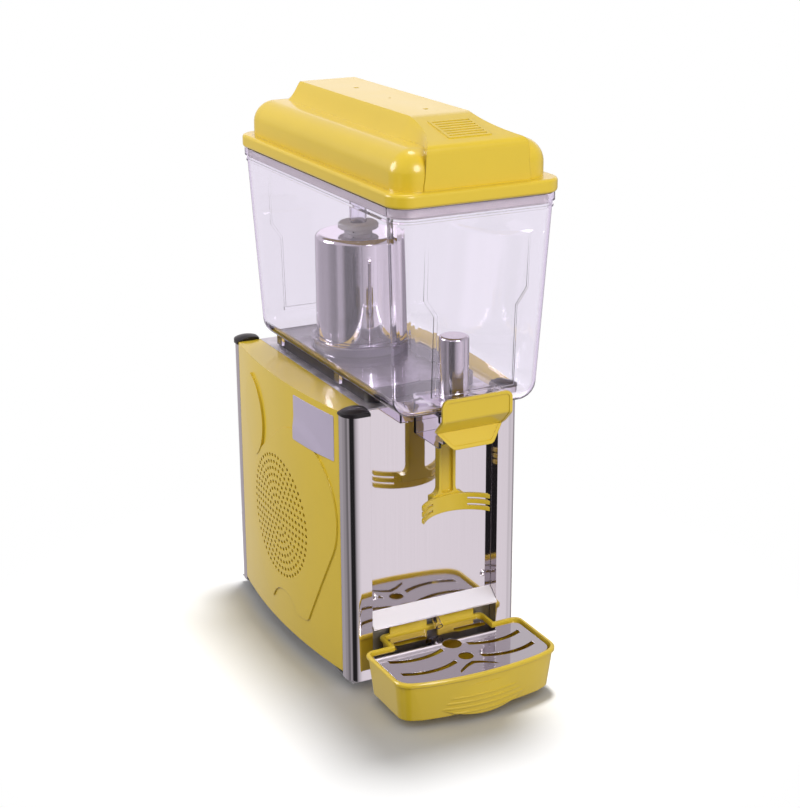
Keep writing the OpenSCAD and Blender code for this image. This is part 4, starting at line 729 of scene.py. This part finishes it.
def studio_world(studio):
    """White to the camera and through clear parts, bands of light and shade for gloss, an even light for the
    rest; the kinds of bounce that a ray has behind it decide between them. Light that is thrown back inside a
    clear wall, with one to three passes through its faces, is a pale lilac."""
    world = bpy.data.worlds.new("studio_room")
    bpy.context.scene.world = world
    world.use_nodes = True
    tree = world.node_tree
    tree.nodes.clear()
    ways = put(tree, "ShaderNodeLightPath")
    white = put(tree, "ShaderNodeBackground", Color=(1.0, 1.0, 1.0, 1.0), Strength=1.0)
    even = put(tree, "ShaderNodeBackground", Color=(1.0, 1.0, 1.0, 1.0), Strength=studio.room_light)
    gloss = put(tree, "ShaderNodeBackground", Strength=1.0)
    through = tree.nodes.new("ShaderNodeMath")
    through.operation = "COMPARE"
    through.inputs[1].default_value = CLEAR_PASSES
    through.inputs[2].default_value = CLEAR_PASSES_SPREAD
    join(tree, ways.outputs["Transmission Depth"], through.inputs[0])
    mirrored_room = blend(tree, through.outputs["Value"], gloss_room(tree, studio), CLEAR_EDGES)
    join(tree, mirrored_room, gloss.inputs["Color"])
    scattered = put(tree, "ShaderNodeMixShader")
    join(tree, ways.outputs["Diffuse Depth"], scattered.inputs["Fac"])
    join(tree, white.outputs["Background"], scattered.inputs[1])
    join(tree, even.outputs["Background"], scattered.inputs[2])
    mirrored = put(tree, "ShaderNodeMixShader")
    join(tree, ways.outputs["Glossy Depth"], mirrored.inputs["Fac"])
    join(tree, scattered.outputs["Shader"], mirrored.inputs[1])
    join(tree, gloss.outputs["Background"], mirrored.inputs[2])
    out = put(tree, "ShaderNodeOutputWorld")
    join(tree, mirrored.outputs["Shader"], out.inputs["Surface"])


def studio_lights(studio, floor):
    """Soft lamps aimed at the middle of the part: key in front, fill from the left, one over the back. The
    floor takes one overhead lamp alone, so that it is pale and keeps the part's shadow."""
    aim = (CAD_LOW + CAD_HIGH) / 2
    on_part = bpy.data.collections.new("lamps_on_part")
    on_floor = bpy.data.collections.new("lamp_on_floor")
    for lit, state in ((on_part, "EXCLUDE"), (on_floor, "INCLUDE")):
        lit.objects.link(floor)
        lit.collection_objects[0].light_linking.link_state = state
    # Name, place, diameter, power, and what takes the light
    lamps = (
        ("key_light", (0.1, -1.9, 1.5), 1.0, studio.key_power, on_part),
        ("fill_light", (-1.5, 0.8, 1.2), 1.0, studio.fill_power, on_part),
        ("top_light", (0.6, 0.8, 3.4), 1.1, studio.top_power, on_part),
        ("floor_light", (0.34, 0.30, 3.4), 0.6, studio.floor_power, on_floor),
    )
    for name, place, diameter, power, lit in lamps:
        lamp = bpy.data.lights.new(name, "AREA")
        lamp.shape = "DISK"
        lamp.size = diameter
        lamp.energy = power
        holder = bpy.data.objects.new(name, lamp)
        bpy.context.scene.collection.objects.link(holder)
        holder.location = place
        holder.rotation_euler = (aim - Vector(place)).to_track_quat("-Z", "Y").to_euler()
        holder.light_linking.receiver_collection = lit


def studio_camera(studio):
    """Camera at the photograph's place: axes from turn, pitch and roll, shift from the image's middle."""
    turn, pitch, roll = studio.camera_turn, studio.camera_pitch, studio.camera_roll
    back = Vector((math.sin(turn) * math.cos(pitch), -math.cos(turn) * math.cos(pitch), math.sin(pitch)))
    right = Vector((math.cos(turn), math.sin(turn), 0.0))
    up = back.cross(right)
    level = math.cos(roll) * right + math.sin(roll) * up
    upright = -math.sin(roll) * right + math.cos(roll) * up
    lens = bpy.data.cameras.new("photo_camera")
    long_side = max(IMAGE_WIDTH, IMAGE_HEIGHT)
    lens.lens = studio.focal_pixels * lens.sensor_width / long_side
    lens.shift_x = (IMAGE_WIDTH / 2 - studio.middle_x) / long_side
    lens.shift_y = (studio.middle_y - IMAGE_HEIGHT / 2) / long_side
    camera = bpy.data.objects.new("photo_camera", lens)
    bpy.context.scene.collection.objects.link(camera)
    turned = Matrix((level, upright, back)).transposed().to_4x4()
    camera.matrix_world = Matrix.Translation(Vector(studio.camera_place)) @ turned
    bpy.context.scene.camera = camera


# Operators


class DISPENSER_OT_finishes(bpy.types.Operator):
    """Builds one finish for each material slot of the part, and those of solids with their own"""

    bl_idname = "dispenser.finishes"
    bl_label = "Finishes"

    def execute(self, context):
        colours = context.scene.dispenser_colours
        sizes = context.scene.dispenser_sizes
        edge = sizes.edge_round
        # Pale lower skirt of the lid, partly painted light against its shade.
        lip = (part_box("bowl")[1].z, tuple(colours.lip))
        # Ledge zone: brushed roughness, and a lighter colour that is a painted highlight.
        satin_and_painted_highlight = (sizes.ledge_height, tuple(colours.satin_and_painted_highlight))
        grain_group()
        polish_group()
        moulded("yellow_plastic", tuple(colours.yellow), rough=0.32, radius=edge, coat=0.5)
        moulded("lid_plastic", tuple(colours.yellow), rough=0.32, radius=edge, coat=0.5, lip=lip)
        moulded("black_plastic", tuple(colours.black), rough=0.36, radius=edge)
        moulded("white_plastic", tuple(colours.white), rough=0.42, radius=edge)
        moulded("grey_plastic", tuple(colours.grey), rough=0.45, radius=edge)
        moulded("red_plastic", tuple(colours.red), rough=0.25, radius=edge, coat=0.3)
        moulded("rubber", tuple(colours.rubber), rough=0.75, radius=edge, depth=RUBBER_DEPTH)
        moulded("silicone", tuple(colours.silicone), rough=0.5, radius=edge)
        moulded(
            "black_metal", tuple(colours.black_enamel), rough=0.3, radius=edge, coat=0.2, fine=ENAMEL_GRAIN,
        )
        moulded(
            "grey_metal", tuple(colours.grey_enamel), rough=0.35, radius=edge, coat=0.2, fine=ENAMEL_GRAIN,
        )
        moulded("label_plate", tuple(colours.label), rough=0.38, radius=0.0)
        polished("polished_steel", tuple(colours.steel), rough=0.05)
        polished("splash_steel", tuple(colours.steel), rough=0.05, satin_and_painted_highlight=satin_and_painted_highlight)
        polished("cylinder_steel", tuple(colours.cylinder), rough=0.03)
        polished("plated_plastic", tuple(colours.steel), rough=0.14)
        polished("copper", tuple(colours.copper), rough=0.24)
        spangled("galvanised", tuple(colours.sheet), rough=0.42)
        # Painted light: a lighter copy of the galvanised sheet for the deck, against the shade under the
        # bowl.
        spangled("deck_sheet_painted_light", tuple(colours.deck), rough=0.42)
        clear_moulding("clear_plastic", tuple(colours.clear))
        return {"FINISHED"}


class DISPENSER_OT_cabinet(bpy.types.Operator):
    """Dresses columns, side panels, deck, pan, feet and back"""

    bl_idname = "dispenser.cabinet"
    bl_label = "Cabinet"

    def execute(self, context):
        dress([
            "base_pan", "feet", "foot_screws", "column_front_left", "column_front_right", "column_rear_left",
            "column_rear_right", "column_caps", "side_panel_left", "side_panel_right", "deck", "rear_panel",
            "rear_screws", "cord_gland",
        ])
        return {"FINISHED"}


class DISPENSER_OT_front(bpy.types.Operator):
    """Dresses the splash panel, its screws, the lower panel, drain and rails"""

    bl_idname = "dispenser.front"
    bl_label = "Front"

    def execute(self, context):
        dress(["splash_panel", "splash_screws", "lower_front_panel", "drain_tube", "tray_rails"])
        return {"FINISHED"}


class DISPENSER_OT_label(bpy.types.Operator):
    """Adds the bare label plate on the left side panel"""

    bl_idname = "dispenser.label"
    bl_label = "Label plate"

    def execute(self, context):
        label_plate(context.scene.dispenser_sizes)
        return {"FINISHED"}


class DISPENSER_OT_cold_unit(bpy.types.Operator):
    """Dresses seat, seal, cold cylinder, pump, spray tube and the drive under them"""

    bl_idname = "dispenser.cold_unit"
    bl_label = "Cold unit"

    def execute(self, context):
        dress([
            "bowl_seat", "bowl_seal", "cold_cylinder", "evaporator_coil", "shaft_bush", "pump_body",
            "spray_tube", "pump_impeller", "drive_shaft", "agitator_motor", "motor_bracket",
        ])
        return {"FINISHED"}


class DISPENSER_OT_bowl(bpy.types.Operator):
    """Dresses the bowl, the spout and the valve"""

    bl_idname = "dispenser.bowl"
    bl_label = "Bowl"

    def execute(self, context):
        dress(["bowl", "outlet_spout", "pivot_pin", "valve_plunger", "plunger_seal"])
        return {"FINISHED"}


class DISPENSER_OT_tap(bpy.types.Operator):
    """Dresses the tap lever"""

    bl_idname = "dispenser.tap"
    bl_label = "Tap lever"

    def execute(self, context):
        dress(["tap_lever"])
        return {"FINISHED"}


class DISPENSER_OT_lid(bpy.types.Operator):
    """Dresses the lid"""

    bl_idname = "dispenser.lid"
    bl_label = "Lid"

    def execute(self, context):
        dress(["lid"])
        return {"FINISHED"}


class DISPENSER_OT_tray(bpy.types.Operator):
    """Dresses the drip tray and its grid"""

    bl_idname = "dispenser.tray"
    bl_label = "Drip tray"

    def execute(self, context):
        dress(["drip_tray", "drip_grid"])
        return {"FINISHED"}


class DISPENSER_OT_cooling(bpy.types.Operator):
    """Dresses the cooling unit inside the cabinet"""

    bl_idname = "dispenser.cooling"
    bl_label = "Cooling unit"

    def execute(self, context):
        dress([
            "compressor", "compressor_mounts", "terminal_cover", "condenser", "fan_shroud", "fan_bracket",
            "fan_motor", "fan", "filter_drier", "refrigerant_pipes",
        ])
        return {"FINISHED"}


class DISPENSER_OT_controls(bpy.types.Operator):
    """Dresses thermostat, knob and switches on the back"""

    bl_idname = "dispenser.controls"
    bl_label = "Controls"

    def execute(self, context):
        dress(["thermostat", "thermostat_knob", "switch_bezels", "cooling_switch", "mixing_switch"])
        return {"FINISHED"}


class DISPENSER_OT_stage(bpy.types.Operator):
    """Adds floor, lights, world and camera"""

    bl_idname = "dispenser.stage"
    bl_label = "Studio"

    def execute(self, context):
        studio = context.scene.dispenser_studio
        floor = studio_floor()
        studio_world(studio)
        studio_lights(studio, floor)
        studio_camera(studio)
        context.scene.view_settings.view_transform = "Standard"
        return {"FINISHED"}


class DISPENSER_PT_panel(bpy.types.Panel):
    """Lists the steps in the sidebar"""

    bl_idname = "DISPENSER_PT_panel"
    bl_label = "Dispenser"
    bl_space_type = "VIEW_3D"
    bl_region_type = "UI"
    bl_category = "Dispenser"

    def draw(self, context):
        for operator in OPERATORS:
            self.layout.operator(operator.bl_idname)


SETTINGS = (
    ("dispenser_colours", DispenserColours),
    ("dispenser_sizes", DispenserSizes),
    ("dispenser_studio", DispenserStudio),
)
OPERATORS = (
    DISPENSER_OT_finishes, DISPENSER_OT_cabinet, DISPENSER_OT_front, DISPENSER_OT_label,
    DISPENSER_OT_cold_unit, DISPENSER_OT_bowl, DISPENSER_OT_tap, DISPENSER_OT_lid, DISPENSER_OT_tray,
    DISPENSER_OT_cooling, DISPENSER_OT_controls, DISPENSER_OT_stage,
)


def register():
    """Registers settings, operators and the panel."""
    for name, group in SETTINGS:
        bpy.utils.register_class(group)
        setattr(bpy.types.Scene, name, bpy.props.PointerProperty(type=group))
    for operator in OPERATORS:
        bpy.utils.register_class(operator)
    bpy.utils.register_class(DISPENSER_PT_panel)


def unregister():
    """Takes back what register() added."""
    bpy.utils.unregister_class(DISPENSER_PT_panel)
    for operator in reversed(OPERATORS):
        bpy.utils.unregister_class(operator)
    for name, group in reversed(SETTINGS):
        delattr(bpy.types.Scene, name)
        bpy.utils.unregister_class(group)


def main():
    """Runs every step in order."""
    register()
    bpy.ops.dispenser.finishes()
    bpy.ops.dispenser.cabinet()
    bpy.ops.dispenser.front()
    bpy.ops.dispenser.label()
    bpy.ops.dispenser.cold_unit()
    bpy.ops.dispenser.bowl()
    bpy.ops.dispenser.tap()
    bpy.ops.dispenser.lid()
    bpy.ops.dispenser.tray()
    bpy.ops.dispenser.cooling()
    bpy.ops.dispenser.controls()
    bpy.ops.dispenser.stage()


if __name__ == "__main__":
    main()
